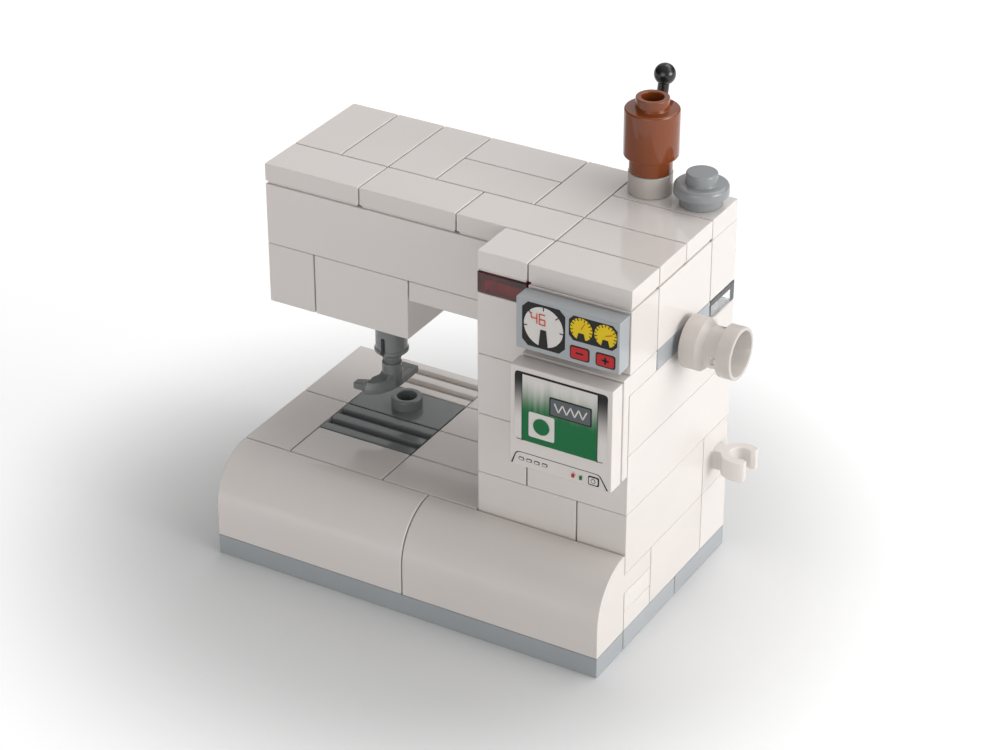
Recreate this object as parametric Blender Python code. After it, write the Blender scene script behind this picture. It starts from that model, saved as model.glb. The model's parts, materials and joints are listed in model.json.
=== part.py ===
# Building brick sewing machine: stud-and-tube bricks, plates and tiles on an 8 mm grid, with a
# handwheel, a thread spool, a knob, a lever and a presser foot that move.
# Run it with: blender --background --python part.py
import bpy
import bmesh
from math import acos, asin, cos, pi, radians, sin, sqrt
from mathutils import Matrix, Vector
from mathutils.geometry import delaunay_2d_cdt

MM = 0.001

# The brick system's grid
PITCH = 8.0 * MM
PLATE = 3.2 * MM
BRICK = 3 * PLATE
STUD_D = 4.8 * MM
STUD_H = 1.65 * MM
SIDE_GAP = 0.1 * MM  # each piece is this much smaller than its grid cell, on every side
SEAT_GAP = 0.05 * MM  # between a piece and the one that it sits on
GRIP_GAP = 0.3 * MM  # between a stud and the walls, tubes or posts around it
HEAD_ROOM = 0.25 * MM  # above a stud inside the next piece
CEILING = 1.2 * MM  # top wall of a brick
TUBE_WALL = 0.55 * MM
RUN_GAP = 0.08 * MM  # radial clearance of whatever turns or slides
GROOVE_H = 0.4 * MM  # fingernail groove round a tile's foot
GROOVE_DEPTH = 0.25 * MM
GRILLE_SLOT = 1.4 * MM
GRILLE_FLOOR = 0.3 * MM

# The machine in studs, left to right and front to back
LENGTH = 8
DEPTH = 5
HEAD_END = 3  # the head ends here
TOWER = 3  # the tower's width, at the right end
NOSE = 2  # rows in front of the arm

# Courses, in plates above the table; a brick is three plates high
BED = 1
BED_TOP = BED + 3
MIDDLE = BED_TOP + 3
UPPER = MIDDLE + 3
BEAM_SEAT = UPPER + 3
BEAM = BEAM_SEAT + 1
HEAD = BEAM - 3
TOP = BEAM + 3

# Curved front piece
CURVE_STRAIGHT = 4.8 * MM  # upright part of its front
CURVE_STEPS = 9

# Screen bracket
BRACKET_WALL = 1.5 * MM

# Clip for a thin bar on the tower's side
CLIP_BAR_D = 3.16 * MM
CLIP_OUTER_D = 5.9 * MM
CLIP_REACH = 4.05 * MM  # from the brick's side to the clip's axis
CLIP_MOUTH = 0.95 * MM  # from the axis to the narrowest place of the mouth
CLIP_TIP = 1.7 * MM
CLIP_FLARE = 1.62 * MM  # half of the mouth's width at the tips
CLIP_STEM = 2.4 * MM
CLIP_H = 3.2 * MM
CLIP_Z = 4.7 * MM  # middle of the clip above the brick's foot

# Handwheel on its pin
AXLE_D = 3.0 * MM
AXLE_Z = 1.25 * MM  # above the foot of the plate that carries it
AXLE_ROOT_D = 2.2 * MM
AXLE_LIP = 0.25 * MM
WHEEL_D = 7.7 * MM
WHEEL_STANDOFF = 0.95 * MM
WHEEL_W = 7.9 * MM
WHEEL_FLANGE = 2.25 * MM
WHEEL_TAPER = 1.3 * MM
WHEEL_NECK_D = 6.1 * MM
WHEEL_CUP_D = 6.6 * MM
WHEEL_WELL_D = 4.4 * MM
WHEEL_HUB = 4.1 * MM  # length of the hub on the pin
WHEEL_RIM_EASE = 0.15 * MM
NOTCH_W = 1.3 * MM
NOTCH_L = 1.0 * MM

# Spool, its base, the knob
BASE_D = 6.4 * MM
NECK_D = 6.2 * MM
ROUND_D = 7.9 * MM
SPOOL_NECK_H = 2.4 * MM
SPOOL_HOLE_D = 3.2 * MM
KNOB_NECK_H = 1.6 * MM
ROUND_EASE = 0.3 * MM

# Lever behind the spool
LEVER_BALL_D = 3.1 * MM
LEVER_STICK_D = 1.64 * MM
LEVER_LENGTH = 13.05 * MM  # hinge to the ball's middle
LEVER_TILT = radians(12.7)
LEVER_X = -1.75 * MM  # hinge from the spool's axis
LEVER_Y = 4.2 * MM
LEVER_Z = 2.0 * MM  # hinge above the foot of the spool's base
LEVER_EYE_D = 2.0 * MM
LEVER_EYE_W = 1.6 * MM
LEVER_PIN_D = 1.0 * MM
EAR_T = 0.8 * MM
EAR_GAP = 0.15 * MM

# Half pin under the head and the presser foot in it
PIN_D = 4.8 * MM
PIN_LIP_D = 5.24 * MM
PIN_LIP_H = 1.2 * MM
PIN_LENGTH = 8.1 * MM  # below the head
PIN_BORE_D = 3.3 * MM
PIN_COLLAR_D = 5.8 * MM
PIN_COLLAR_H = 0.75 * MM
PIN_SLOT_W = 0.75 * MM
PIN_SLOT_H = 3.5 * MM
FOOT_LIFT = 5.6 * MM  # sole above the bed
FOOT_T = 1.05 * MM
FOOT_BODY_H = 2.3 * MM  # sole to the round bar
FOOT_BAR_IN = 4.9 * MM  # length of bar inside the pin; raised, it stays clear of the head
FOOT_SIDE = 1.4 * MM  # from the axis to the straight side
FOOT_BACK = 5.2 * MM
FOOT_FRONT = 4.3 * MM
FOOT_BEND_X = -2.2 * MM  # middle of the ellipse that the side and the front follow
FOOT_BEND_Y = 1.0 * MM
FOOT_TOE = 4.4 * MM  # how far the toe reaches to the left
FOOT_TOE_W = 1.3 * MM
FOOT_TOE_IN = 0.4 * MM  # the toe's front stands back by this much
FOOT_TREADS = (  # (left end, back end, rise) of each tread, from the lower to the upper
    (2.6 * MM, 2.9 * MM, 0.45 * MM),
    (1.9 * MM, 1.9 * MM, 0.5 * MM),
)
FOOT_INSET = 0.06 * MM  # a tread's edge inside the one below
FOOT_FLARE = 0.3 * MM

# Facets round a circle
STUD_SIDES = 6
TUBE_SIDES = 6
POST_SIDES = 6
ROUND_SIDES = 24
SMALL_SIDES = 16

# What follows from the values above
STUD_R = STUD_D / 2
WALL = PITCH / 2 - STUD_R - GRIP_GAP - SIDE_GAP
POST_R = PITCH / 2 - STUD_R - GRIP_GAP
TUBE_R = PITCH / sqrt(2) - STUD_R - GRIP_GAP
BORE_R = TUBE_R - TUBE_WALL
STUD_POCKET = STUD_H + HEAD_ROOM
AXLE_R = AXLE_D / 2
TOWER_START = LENGTH - TOWER
ARM = DEPTH - NOSE  # rows
SIDE_FACE = LENGTH * PITCH - SIDE_GAP
WHEEL_START = SIDE_FACE + WHEEL_STANDOFF
WHEEL_AT = Vector((WHEEL_START, (NOSE + 1) * PITCH, BEAM_SEAT * PLATE + AXLE_Z))
SPOOL_AT = Vector(((LENGTH - 1.5) * PITCH, (DEPTH - 0.5) * PITCH, (TOP + 1) * PLATE))
KNOB_AT = SPOOL_AT + Vector((PITCH, 0, 0))
LEVER_AT = SPOOL_AT + Vector((LEVER_X, LEVER_Y, LEVER_Z))
PIN_AT = Vector((2 * PITCH, (NOSE + 1) * PITCH, HEAD * PLATE))
BED_SURFACE = BED_TOP * PLATE + PLATE

# The machine stands with the middle of its outline at the origin
REACH_X = WHEEL_START + WHEEL_W
REACH_Y = LEVER_AT.y + LEVER_LENGTH * sin(LEVER_TILT) + LEVER_BALL_D / 2
ORIGIN = Vector(((REACH_X + SIDE_GAP) / 2, (REACH_Y + SIDE_GAP) / 2, 0))


def clear_scene():
    for obj in list(bpy.data.objects):
        bpy.data.objects.remove(obj)


def plastic(name, colour, roughness=0.22, clear=0.0):
    material = bpy.data.materials.new(name)
    material.use_nodes = True
    shader = material.node_tree.nodes["Principled BSDF"]
    shader.inputs["Base Color"].default_value = (*colour, 1.0)
    shader.inputs["Roughness"].default_value = roughness
    shader.inputs["Metallic"].default_value = 0.0
    shader.inputs["IOR"].default_value = 1.53
    shader.inputs["Transmission Weight"].default_value = clear
    material.diffuse_color = (*colour, 1.0)
    return material


# Flat shapes, as lists of points

def rectangle(x0, y0, x1, y1):
    return [(x0, y0), (x1, y0), (x1, y1), (x0, y1)]


def arc(x, y, radius, start, end, steps):
    turns = [start + (end - start) * i / steps for i in range(steps + 1)]
    return [(x + radius * cos(t), y + radius * sin(t)) for t in turns]


def circle(x, y, radius, sides):
    half = pi / sides
    return arc(x, y, radius, half, half + 2 * pi, sides)[:-1]


def encloses(loop, x, y):
    inside = False
    for (x0, y0), (x1, y1) in zip(loop, loop[1:] + loop[:1]):
        if (y0 > y) != (y1 > y) and x < x0 + (x1 - x0) * (y - y0) / (y1 - y0):
            inside = not inside
    return inside


# Closed shells. A feature is (outline, height, features on its end): a stud rises, a pocket sinks.

def fill(mesh, loops, place):
    points, edges = [], []
    for loop in loops:
        first = len(points)
        points += [Vector(point) / MM for point in loop]
        edges += [(first + i, first + (i + 1) % len(loop)) for i in range(len(loop))]
    found, _, triangles, *_ = delaunay_2d_cdt(points, edges, [], 0, 1e-6)
    for triangle in triangles:
        corners = [found[i] * MM for i in triangle]
        x = sum(corner.x for corner in corners) / 3
        y = sum(corner.y for corner in corners) / 3
        if sum(encloses(loop, x, y) for loop in loops) % 2:
            mesh.faces.new([mesh.verts.new(place(c.x, c.y)) for c in corners])


def side_wall(mesh, loop, low, high):
    for p, q in zip(loop, loop[1:] + loop[:1]):
        mesh.faces.new([mesh.verts.new(v) for v in (low(*p), low(*q), high(*q), high(*p))])


def face(mesh, outline, features, place, level=0.0):
    def at(height):
        return lambda u, v: place(u, v, height)

    fill(mesh, [outline] + [feature[0] for feature in features], at(level))
    for loop, height, inner in features:
        side_wall(mesh, loop, at(level), at(level + height))
        face(mesh, loop, inner, place, level + height)


def prism(mesh, profile, x0, x1, features):
    """Extrudes a (y, z) profile along X; features lists what stands on each edge's strip."""
    for i, ((y0, z0), (y1, z1)) in enumerate(zip(profile, profile[1:] + profile[:1])):
        if i not in features:
            ends = ((x0, y0, z0), (x1, y0, z0), (x1, y1, z1), (x0, y1, z1))
            mesh.faces.new([mesh.verts.new(end) for end in ends])
        elif z0 == z1:
            up = 1 if y1 < y0 else -1
            strip = rectangle(x0, min(y0, y1), x1, max(y0, y1))
            face(mesh, strip, features[i], lambda u, v, w, z=z0, s=up: (u, v, z + s * w))
        else:
            strip = rectangle(x0, min(z0, z1), x1, max(z0, z1))
            face(mesh, strip, features[i], lambda u, v, w, y=y0: (u, y - w, v))
    for x in (x0, x1):
        fill(mesh, [profile], lambda u, v, x=x: (x, u, v))


def column(mesh, outline, low, high):
    """Extrudes an (x, y) outline from one height to another."""
    face(mesh, outline, [], lambda u, v, w: (u, v, low))
    face(mesh, outline, [], lambda u, v, w: (u, v, high))
    side_wall(mesh, outline, lambda u, v: (u, v, low), lambda u, v: (u, v, high))


def turned(mesh, profile, sides, closed=False):
    """Turns an (r, z) profile round Z. A closed profile runs round a bore."""
    rings = []
    for r, z in profile:
        count = 1 if r == 0 else sides
        turn = [2 * pi * (i + 0.5) / sides for i in range(count)]
        rings.append([mesh.verts.new((r * cos(t), r * sin(t), z)) for t in turn])
    pairs = list(zip(rings, rings[1:]))
    if closed:
        pairs.append((rings[-1], rings[0]))
    for a, b in pairs:
        for i in range(sides):
            j = (i + 1) % sides
            corners = [a[i % len(a)], a[j % len(a)], b[j % len(b)], b[i % len(b)]]
            mesh.faces.new(list(dict.fromkeys(corners)))


def finish(mesh, name):
    """Closes a shell, turns its faces outwards and smooths what is round."""
    bmesh.ops.remove_doubles(mesh, verts=mesh.verts, dist=1e-7)
    bmesh.ops.recalc_face_normals(mesh, faces=mesh.faces)
    data = bpy.data.meshes.new(name)
    mesh.to_mesh(data)
    mesh.free()
    data.shade_smooth()
    data.set_sharp_from_angle(angle=radians(65))
    return data


def put(name, data, material, place, turn=(0, 0, 0)):
    """A named piece of the machine, at a place that is measured from its front left corner."""
    obj = bpy.data.objects.new(name, data)
    bpy.context.scene.collection.objects.link(obj)
    if not data.materials:
        data.materials.append(material)
    obj.location = place
    obj.rotation_euler = turn
    obj.parent = machine
    return obj


def helper(name, data, target, operation, place=(0, 0, 0), turn=(0, 0, 0)):
    """Adds a shape to a piece, or cuts it away, in the piece's own frame."""
    obj = bpy.data.objects.new(name, data)
    bpy.context.scene.collection.objects.link(obj)
    obj.parent = target
    obj.location = place
    obj.rotation_euler = turn
    obj.hide_render = True
    obj.display_type = "WIRE"
    modifier = target.modifiers.new(name, "BOOLEAN")
    modifier.operation = operation
    modifier.object = obj
    return obj


# Brick pieces

def studs(columns, rows, y0=0.0):
    return [
        (circle((i + 0.5) * PITCH, y0 + (j + 0.5) * PITCH, STUD_R, STUD_SIDES), STUD_H, [])
        for i in range(columns)
        for j in range(rows)
    ]


def grips(columns, rows, depth, y0=0.0):
    """Tubes between four studs, or posts between two."""
    found = []
    if min(columns, rows) > 1:
        for i in range(1, columns):
            for j in range(1, rows):
                x, y = i * PITCH, y0 + j * PITCH
                bore = (circle(x, y, BORE_R, TUBE_SIDES), -depth, [])
                found.append((circle(x, y, TUBE_R, TUBE_SIDES), depth, [bore]))
        return found
    for i in range(1, max(columns, rows)):
        x, y = (i, 0.5) if columns > rows else (0.5, i)
        found.append((circle(x * PITCH, y0 + y * PITCH, POST_R, POST_SIDES), depth, []))
    return found


def pocket(columns, rows, depth, y0=0.0):
    """The hollow under a piece, with its tubes or posts."""
    edge = SIDE_GAP + WALL
    outline = rectangle(edge, y0 + edge, columns * PITCH - edge, y0 + rows * PITCH - edge)
    return (outline, -depth, grips(columns, rows, depth, y0))


def pocket_depth(height):
    return STUD_POCKET if height <= PLATE else height - SEAT_GAP - CEILING


def box_profile(rows, foot, height):
    return rectangle(SIDE_GAP, foot, rows * PITCH - SIDE_GAP, height)


def brick_mesh(columns, rows, height, foot=SEAT_GAP, front=()):
    mesh = bmesh.new()
    below = [pocket(columns, rows, pocket_depth(height))]
    above = studs(columns, rows)
    features = {0: below, 2: above, 3: list(front)}
    prism(mesh, box_profile(rows, foot, height), SIDE_GAP, columns * PITCH - SIDE_GAP, features)
    return finish(mesh, f"brick_{columns}x{rows}")


def tile_foot(columns, rows):
    """The part of a tile inside its fingernail groove, with the hollow under it."""
    edge = SIDE_GAP + GROOVE_DEPTH
    outline = rectangle(edge, edge, columns * PITCH - edge, rows * PITCH - edge)
    return (outline, GROOVE_H, [pocket(columns, rows, STUD_POCKET)])


def tile_mesh(columns, rows):
    mesh = bmesh.new()
    profile = box_profile(rows, SEAT_GAP + GROOVE_H, PLATE)
    prism(mesh, profile, SIDE_GAP, columns * PITCH - SIDE_GAP, {0: [tile_foot(columns, rows)]})
    return finish(mesh, f"tile_{columns}x{rows}")


def grille_mesh(columns):
    """A tile with two slots along its length, open at both ends."""
    slot_floor = SEAT_GAP + STUD_POCKET + GRILLE_FLOOR
    bar = (PITCH - 2 * SIDE_GAP - 2 * GRILLE_SLOT) / 3
    y = PITCH - SIDE_GAP
    profile = [(SIDE_GAP, SEAT_GAP + GROOVE_H), (y, SEAT_GAP + GROOVE_H), (y, PLATE)]
    for _ in range(2):
        profile += [(y - bar, PLATE), (y - bar, slot_floor)]
        y -= bar + GRILLE_SLOT
        profile += [(y, slot_floor), (y, PLATE)]
    profile.append((SIDE_GAP, PLATE))
    mesh = bmesh.new()
    prism(mesh, profile, SIDE_GAP, columns * PITCH - SIDE_GAP, {0: [tile_foot(columns, 1)]})
    return finish(mesh, "grille")


def jumper_mesh():
    """A two stud plate with one hollow stud in its middle."""
    mesh = bmesh.new()
    hole = (circle(PITCH, PITCH / 2, SPOOL_HOLE_D / 2, SMALL_SIDES), -STUD_H, [])
    stud = (circle(PITCH, PITCH / 2, STUD_R, SMALL_SIDES), STUD_H, [hole])
    profile = box_profile(1, SEAT_GAP + GROOVE_H, PLATE)
    features = {0: [tile_foot(2, 1)], 2: [stud]}
    prism(mesh, profile, SIDE_GAP, 2 * PITCH - SIDE_GAP, features)
    return finish(mesh, "jumper")


def curve_mesh(columns):
    """Front piece that rises upright, curves back, and has a low studded ledge behind."""
    height, ledge, under = 4 * PLATE, BRICK, 2 * PLATE + SEAT_GAP
    back, front = PITCH - SIDE_GAP, SIDE_GAP
    depth, rise = back - front, height - CURVE_STRAIGHT
    turns = [pi / 2 * (1 - i / CURVE_STEPS) for i in range(CURVE_STEPS + 1)]
    curve = [(back - depth * cos(t), CURVE_STRAIGHT + rise * sin(t)) for t in turns]
    profile = [(front, SEAT_GAP), (back, SEAT_GAP), (back, under)]
    profile += [(back + PITCH, under), (back + PITCH, ledge), (back, ledge)] + curve
    skin = CURVE_STRAIGHT + rise * sin(acos((depth - WALL) / depth)) - WALL
    features = {
        0: [pocket(columns, 1, skin - SEAT_GAP)],
        2: [pocket(columns, 1, STUD_POCKET, y0=PITCH)],
        4: studs(columns, 1, y0=PITCH),
    }
    mesh = bmesh.new()
    prism(mesh, profile, SIDE_GAP, columns * PITCH - SIDE_GAP, features)
    return finish(mesh, "curved_front")


def side_studs(columns, rows, top):
    """Studs on a front face, counted down from its top edge."""
    return [
        (circle((i + 0.5) * PITCH, top - (j + 0.5) * PITCH, STUD_R, STUD_SIDES), STUD_H, [])
        for i in range(columns)
        for j in range(rows)
    ]


def bracket_mesh():
    """A two stud plate with a thin wall hanging from its front edge."""
    low = PLATE - 2 * PITCH + SIDE_GAP
    back = PITCH - SIDE_GAP
    wall = (-SIDE_GAP - BRACKET_WALL, -SIDE_GAP)
    profile = [(wall[0], low), (wall[1], low), (wall[1], SEAT_GAP)]
    profile += [(back, SEAT_GAP), (back, PLATE), (wall[0], PLATE)]
    features = {2: [pocket(2, 1, STUD_POCKET)], 4: studs(2, 1), 5: side_studs(2, 2, PLATE)}
    mesh = bmesh.new()
    prism(mesh, profile, SIDE_GAP, 2 * PITCH - SIDE_GAP, features)
    return finish(mesh, "bracket")


# Moving and special pieces

def clip_mesh():
    """An open ring on a stem, seen from above with its mouth towards +X."""
    outer, inner, half = CLIP_OUTER_D / 2, CLIP_BAR_D / 2, CLIP_STEM / 2
    mouth = acos(CLIP_MOUTH / inner)
    tip = acos(CLIP_TIP / outer)
    stem = pi - asin(half / outer)
    root = -CLIP_REACH - WALL / 2
    outline = [(root, -half)] + arc(0, 0, outer, 2 * pi - stem, 2 * pi - tip, 6)
    outline += [(CLIP_TIP, -CLIP_FLARE)] + arc(0, 0, inner, 2 * pi - mouth, mouth, 12)
    outline += [(CLIP_TIP, CLIP_FLARE)] + arc(0, 0, outer, tip, stem, 6) + [(root, half)]
    mesh = bmesh.new()
    column(mesh, outline, -CLIP_H / 2, CLIP_H / 2)
    return finish(mesh, "clip")


def axle_mesh():
    """The pin that carries the handwheel, along Z, with a lip that keeps the wheel on."""
    root, lip = AXLE_ROOT_D / 2, AXLE_R + AXLE_LIP
    hub = WHEEL_STANDOFF + WHEEL_HUB
    profile = [(0, -WALL / 2), (root, -WALL / 2), (root, SIDE_GAP), (AXLE_R, SIDE_GAP)]
    profile += [(AXLE_R, hub + RUN_GAP), (lip, hub + 2 * RUN_GAP), (lip, hub + 4 * RUN_GAP)]
    profile += [(AXLE_R, hub + 6 * RUN_GAP), (0, hub + 6 * RUN_GAP)]
    mesh = bmesh.new()
    turned(mesh, profile, SMALL_SIDES)
    return finish(mesh, "axle")


def wheel_mesh():
    """The handwheel along Z: two flanges, a taper and a neck between, and a cup at the far end."""
    rim, neck, bore = WHEEL_D / 2, WHEEL_NECK_D / 2, AXLE_R + RUN_GAP
    cup, well = WHEEL_CUP_D / 2, WHEEL_WELL_D / 2
    outer_flange = WHEEL_W - WHEEL_FLANGE
    ease = WHEEL_RIM_EASE
    profile = [(bore, 0), (rim - ease, 0), (rim, ease), (rim, WHEEL_FLANGE)]
    profile += [(neck, WHEEL_FLANGE + WHEEL_TAPER), (neck, outer_flange), (rim, outer_flange)]
    profile += [(rim, WHEEL_W - ease), (rim - ease, WHEEL_W), (cup, WHEEL_W)]
    profile += [(cup, outer_flange), (well, outer_flange), (well, WHEEL_HUB), (bore, WHEEL_HUB)]
    mesh = bmesh.new()
    turned(mesh, profile, ROUND_SIDES, closed=True)
    return finish(mesh, "handwheel")


def notch_mesh():
    """Two crossed bars that cut four notches through the handwheel's neck."""
    mesh = bmesh.new()
    reach = WHEEL_D / 2
    top = WHEEL_W - WHEEL_FLANGE - 2 * RUN_GAP
    half = NOTCH_W / 2
    arm = [(reach, -half), (reach, half), (half, half)]
    quarters = ((1, 0), (0, 1), (-1, 0), (0, -1))
    outline = [(x * c - y * s, x * s + y * c) for c, s in quarters for x, y in arm]
    column(mesh, outline, top - NOTCH_L, top)
    return finish(mesh, "notches")


def spool_mesh():
    """A round brick: neck, barrel and hollow stud, open below over its base's stud."""
    barrel, neck, bore = ROUND_D / 2, NECK_D / 2, STUD_R + RUN_GAP
    hole, top = SPOOL_HOLE_D / 2, BRICK + STUD_H
    ease = ROUND_EASE
    profile = [(bore, SEAT_GAP), (neck, SEAT_GAP), (neck, SPOOL_NECK_H)]
    profile += [(barrel - ease, SPOOL_NECK_H), (barrel, SPOOL_NECK_H + ease), (barrel, BRICK - ease)]
    profile += [(barrel - ease, BRICK), (STUD_R, BRICK), (STUD_R, top), (hole, top)]
    profile += [(hole, BRICK - CEILING), (bore, BRICK - CEILING)]
    mesh = bmesh.new()
    turned(mesh, profile, ROUND_SIDES, closed=True)
    return finish(mesh, "spool")


def round_plate_mesh():
    """The knob: a round plate with a solid stud."""
    disc, neck, bore = ROUND_D / 2, NECK_D / 2, STUD_R + RUN_GAP
    ease = ROUND_EASE
    profile = [(0, STUD_POCKET), (bore, STUD_POCKET), (bore, SEAT_GAP), (neck, SEAT_GAP)]
    profile += [(neck, KNOB_NECK_H), (disc - ease / 2, KNOB_NECK_H), (disc, KNOB_NECK_H + ease / 2)]
    profile += [(disc, PLATE - ease), (disc - ease, PLATE), (STUD_R, PLATE)]
    profile += [(STUD_R, PLATE + STUD_H), (0, PLATE + STUD_H)]
    mesh = bmesh.new()
    turned(mesh, profile, ROUND_SIDES)
    return finish(mesh, "round_plate")


def spool_base_mesh():
    base, bore = BASE_D / 2, STUD_R + RUN_GAP
    profile = [(0, STUD_POCKET), (bore, STUD_POCKET), (bore, SEAT_GAP), (base, SEAT_GAP)]
    profile += [(base, PLATE), (STUD_R, PLATE), (STUD_R, PLATE + STUD_H), (0, PLATE + STUD_H)]
    mesh = bmesh.new()
    turned(mesh, profile, ROUND_SIDES)
    return finish(mesh, "spool_base")


def ear_mesh(side):
    """One hinge ear, a plate in the lever's plane, rooted in the base and bored for the pin."""
    near = LEVER_EYE_W / 2 + EAR_GAP
    low = LEVER_X + side * near
    high = LEVER_X + side * (near + EAR_T)
    end = LEVER_EYE_D / 2
    deepest = max(abs(low), abs(high))
    root = sqrt((BASE_D / 2) ** 2 - min(deepest, BASE_D / 2 - EAR_T / 4) ** 2) - EAR_T
    outline = [(root, LEVER_Z - end), (LEVER_Y, LEVER_Z - end)]
    outline += arc(LEVER_Y, LEVER_Z, end, -pi / 2, pi / 2, 8)[1:] + [(root, LEVER_Z + end)]
    hole = circle(LEVER_Y, LEVER_Z, LEVER_PIN_D / 2 + RUN_GAP, SMALL_SIDES)
    mesh = bmesh.new()
    for x in (low, high):
        fill(mesh, [outline, hole], lambda u, v, x=x: (x, u, v))
    for loop in (outline, hole):
        side_wall(mesh, loop, lambda u, v: (low, u, v), lambda u, v: (high, u, v))
    return finish(mesh, "ear")


def lever_hub_mesh():
    """The lever's eye with its two trunnions, along Z."""
    eye, pin, half = LEVER_EYE_D / 2, LEVER_PIN_D / 2, LEVER_EYE_W / 2
    end = half + EAR_GAP + EAR_T
    profile = [(0, -end), (pin, -end), (pin, -half), (eye, -half)]
    profile += [(eye, half), (pin, half), (pin, end), (0, end)]
    mesh = bmesh.new()
    turned(mesh, profile, SMALL_SIDES)
    return finish(mesh, "lever_hub")


def lever_stick_mesh():
    """The stick, a short narrowing and the ball, along Z from the hinge."""
    stick, ball = LEVER_STICK_D / 2, LEVER_BALL_D / 2
    meet = asin(0.85 * stick / ball)
    turns = [pi - meet - (pi - meet) * i / 9 for i in range(10)]
    profile = [(0, 0), (stick, 0), (stick, LEVER_LENGTH - ball - stick / 2)]
    profile += [(ball * sin(t), LEVER_LENGTH + ball * cos(t)) for t in turns[:-1]]
    profile.append((0, LEVER_LENGTH + ball))
    mesh = bmesh.new()
    turned(mesh, profile, SMALL_SIDES)
    return finish(mesh, "lever_stick")


def half_pin_mesh():
    """Stud end, collar, shank and snap lip round one bore, with Z zero at the head's underside."""
    bore, shank, lip, collar = PIN_BORE_D / 2, PIN_D / 2, PIN_LIP_D / 2, PIN_COLLAR_D / 2
    plug = BORE_R * cos(pi / TUBE_SIDES) - RUN_GAP
    low = -PIN_LENGTH
    ease = (lip - shank) / 2 + RUN_GAP
    profile = [(bore, low), (shank - ease, low), (lip, low + 2 * ease), (lip, low + PIN_LIP_H - ease)]
    profile += [(shank, low + PIN_LIP_H), (shank, -RUN_GAP - PIN_COLLAR_H)]
    profile += [(collar, -RUN_GAP - PIN_COLLAR_H), (collar, -RUN_GAP), (plug, -RUN_GAP)]
    profile += [(plug, STUD_H), (bore, STUD_H)]
    mesh = bmesh.new()
    turned(mesh, profile, ROUND_SIDES, closed=True)
    return finish(mesh, "half_pin")


def slot_mesh():
    """A round-topped slot through the half pin, front to back."""
    half, reach = PIN_SLOT_W / 2, PIN_COLLAR_D
    low, top = -PIN_LENGTH - RUN_GAP, -PIN_LENGTH + PIN_SLOT_H - half
    outline = [(-half, low), (half, low)] + arc(0, top, half, 0, pi, 6)
    mesh = bmesh.new()
    for y in (-reach, reach):
        fill(mesh, [outline], lambda u, v, y=y: (u, y, v))
    side_wall(mesh, outline, lambda u, v: (u, -reach, v), lambda u, v: (u, reach, v))
    return finish(mesh, "pin_slot")


def foot_bar_mesh():
    """The foot's round bar with its flare, with Z zero at the sole."""
    bar = PIN_BORE_D / 2 - RUN_GAP
    top = HEAD * PLATE - PIN_LENGTH + FOOT_BAR_IN - BED_SURFACE - FOOT_LIFT
    shoulder = FOOT_T + FOOT_TREADS[0][2]
    profile = [(0, FOOT_T / 2), (bar + FOOT_FLARE, FOOT_T / 2), (bar + FOOT_FLARE, shoulder + RUN_GAP)]
    profile += [(bar, FOOT_BODY_H), (bar, top - RUN_GAP), (bar - RUN_GAP, top), (0, top)]
    mesh = bmesh.new()
    turned(mesh, profile, SMALL_SIDES)
    return finish(mesh, "foot_bar")


def foot_outline(left, back, inset=0.0):
    """The foot from above: a straight right side that turns into a rounded toe on the left."""
    side, front, bend = FOOT_SIDE - inset, inset - FOOT_FRONT, min(left, -FOOT_BEND_X - inset)
    wide, deep = side - FOOT_BEND_X, FOOT_BEND_Y - front
    last = acos((-bend - FOOT_BEND_X) / wide)
    turns = [-last * i / 8 for i in range(9)]
    curve = [(FOOT_BEND_X + wide * cos(t), FOOT_BEND_Y + deep * sin(t)) for t in turns]
    toe_front = front + FOOT_TOE_IN
    toe_back = toe_front + FOOT_TOE_W - 2 * inset
    if left > bend:
        curve += [(-bend, toe_front), (-left, toe_front)]
    return [(side, back)] + curve + [(-left, toe_back), (-side, toe_back + side), (-side, back)]


def foot_mesh():
    """A flat sole with two treads on it, each shorter than the one below."""
    top = []
    for i in (2, 1):
        left, back, rise = FOOT_TREADS[i - 1]
        top = [(foot_outline(left, back, i * FOOT_INSET), rise, top)]
    sole = foot_outline(FOOT_TOE, FOOT_BACK)
    mesh = bmesh.new()
    face(mesh, sole, [], lambda u, v, w: (u, v, 0.0))
    side_wall(mesh, sole, lambda u, v: (u, v, 0.0), lambda u, v: (u, v, FOOT_T))
    face(mesh, sole, top, lambda u, v, w: (u, v, FOOT_T + w))
    return finish(mesh, "presser_foot")


# The assembly

def at(column_, row, course):
    return (column_ * PITCH, row * PITCH, course * PLATE)


def build_base():
    for name, row, rows in (
        ("base_front_plate", 0, 1),
        ("base_middle_plate", 1, 2),
        ("base_rear_plate", 3, DEPTH - 3),
    ):
        put(name, brick_mesh(LENGTH, rows, PLATE, foot=0), grey, at(0, row, 0))


def build_body():
    left = LENGTH // 2
    put("curved_front_left", curve_mesh(left), white, at(0, 0, BED))
    put("curved_front_right", curve_mesh(LENGTH - left), white, at(left, 0, BED))
    for name, course in (("ledge_plate_lower", BED), ("ledge_plate_upper", BED + 1)):
        put(name, brick_mesh(LENGTH, 1, PLATE), white, at(0, 1, course))
    put("body_brick_middle", brick_mesh(LENGTH, DEPTH - 3, BRICK), white, at(0, 2, BED))
    put("body_brick_rear", brick_mesh(LENGTH, 1, BRICK), white, at(0, DEPTH - 1, BED))


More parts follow.
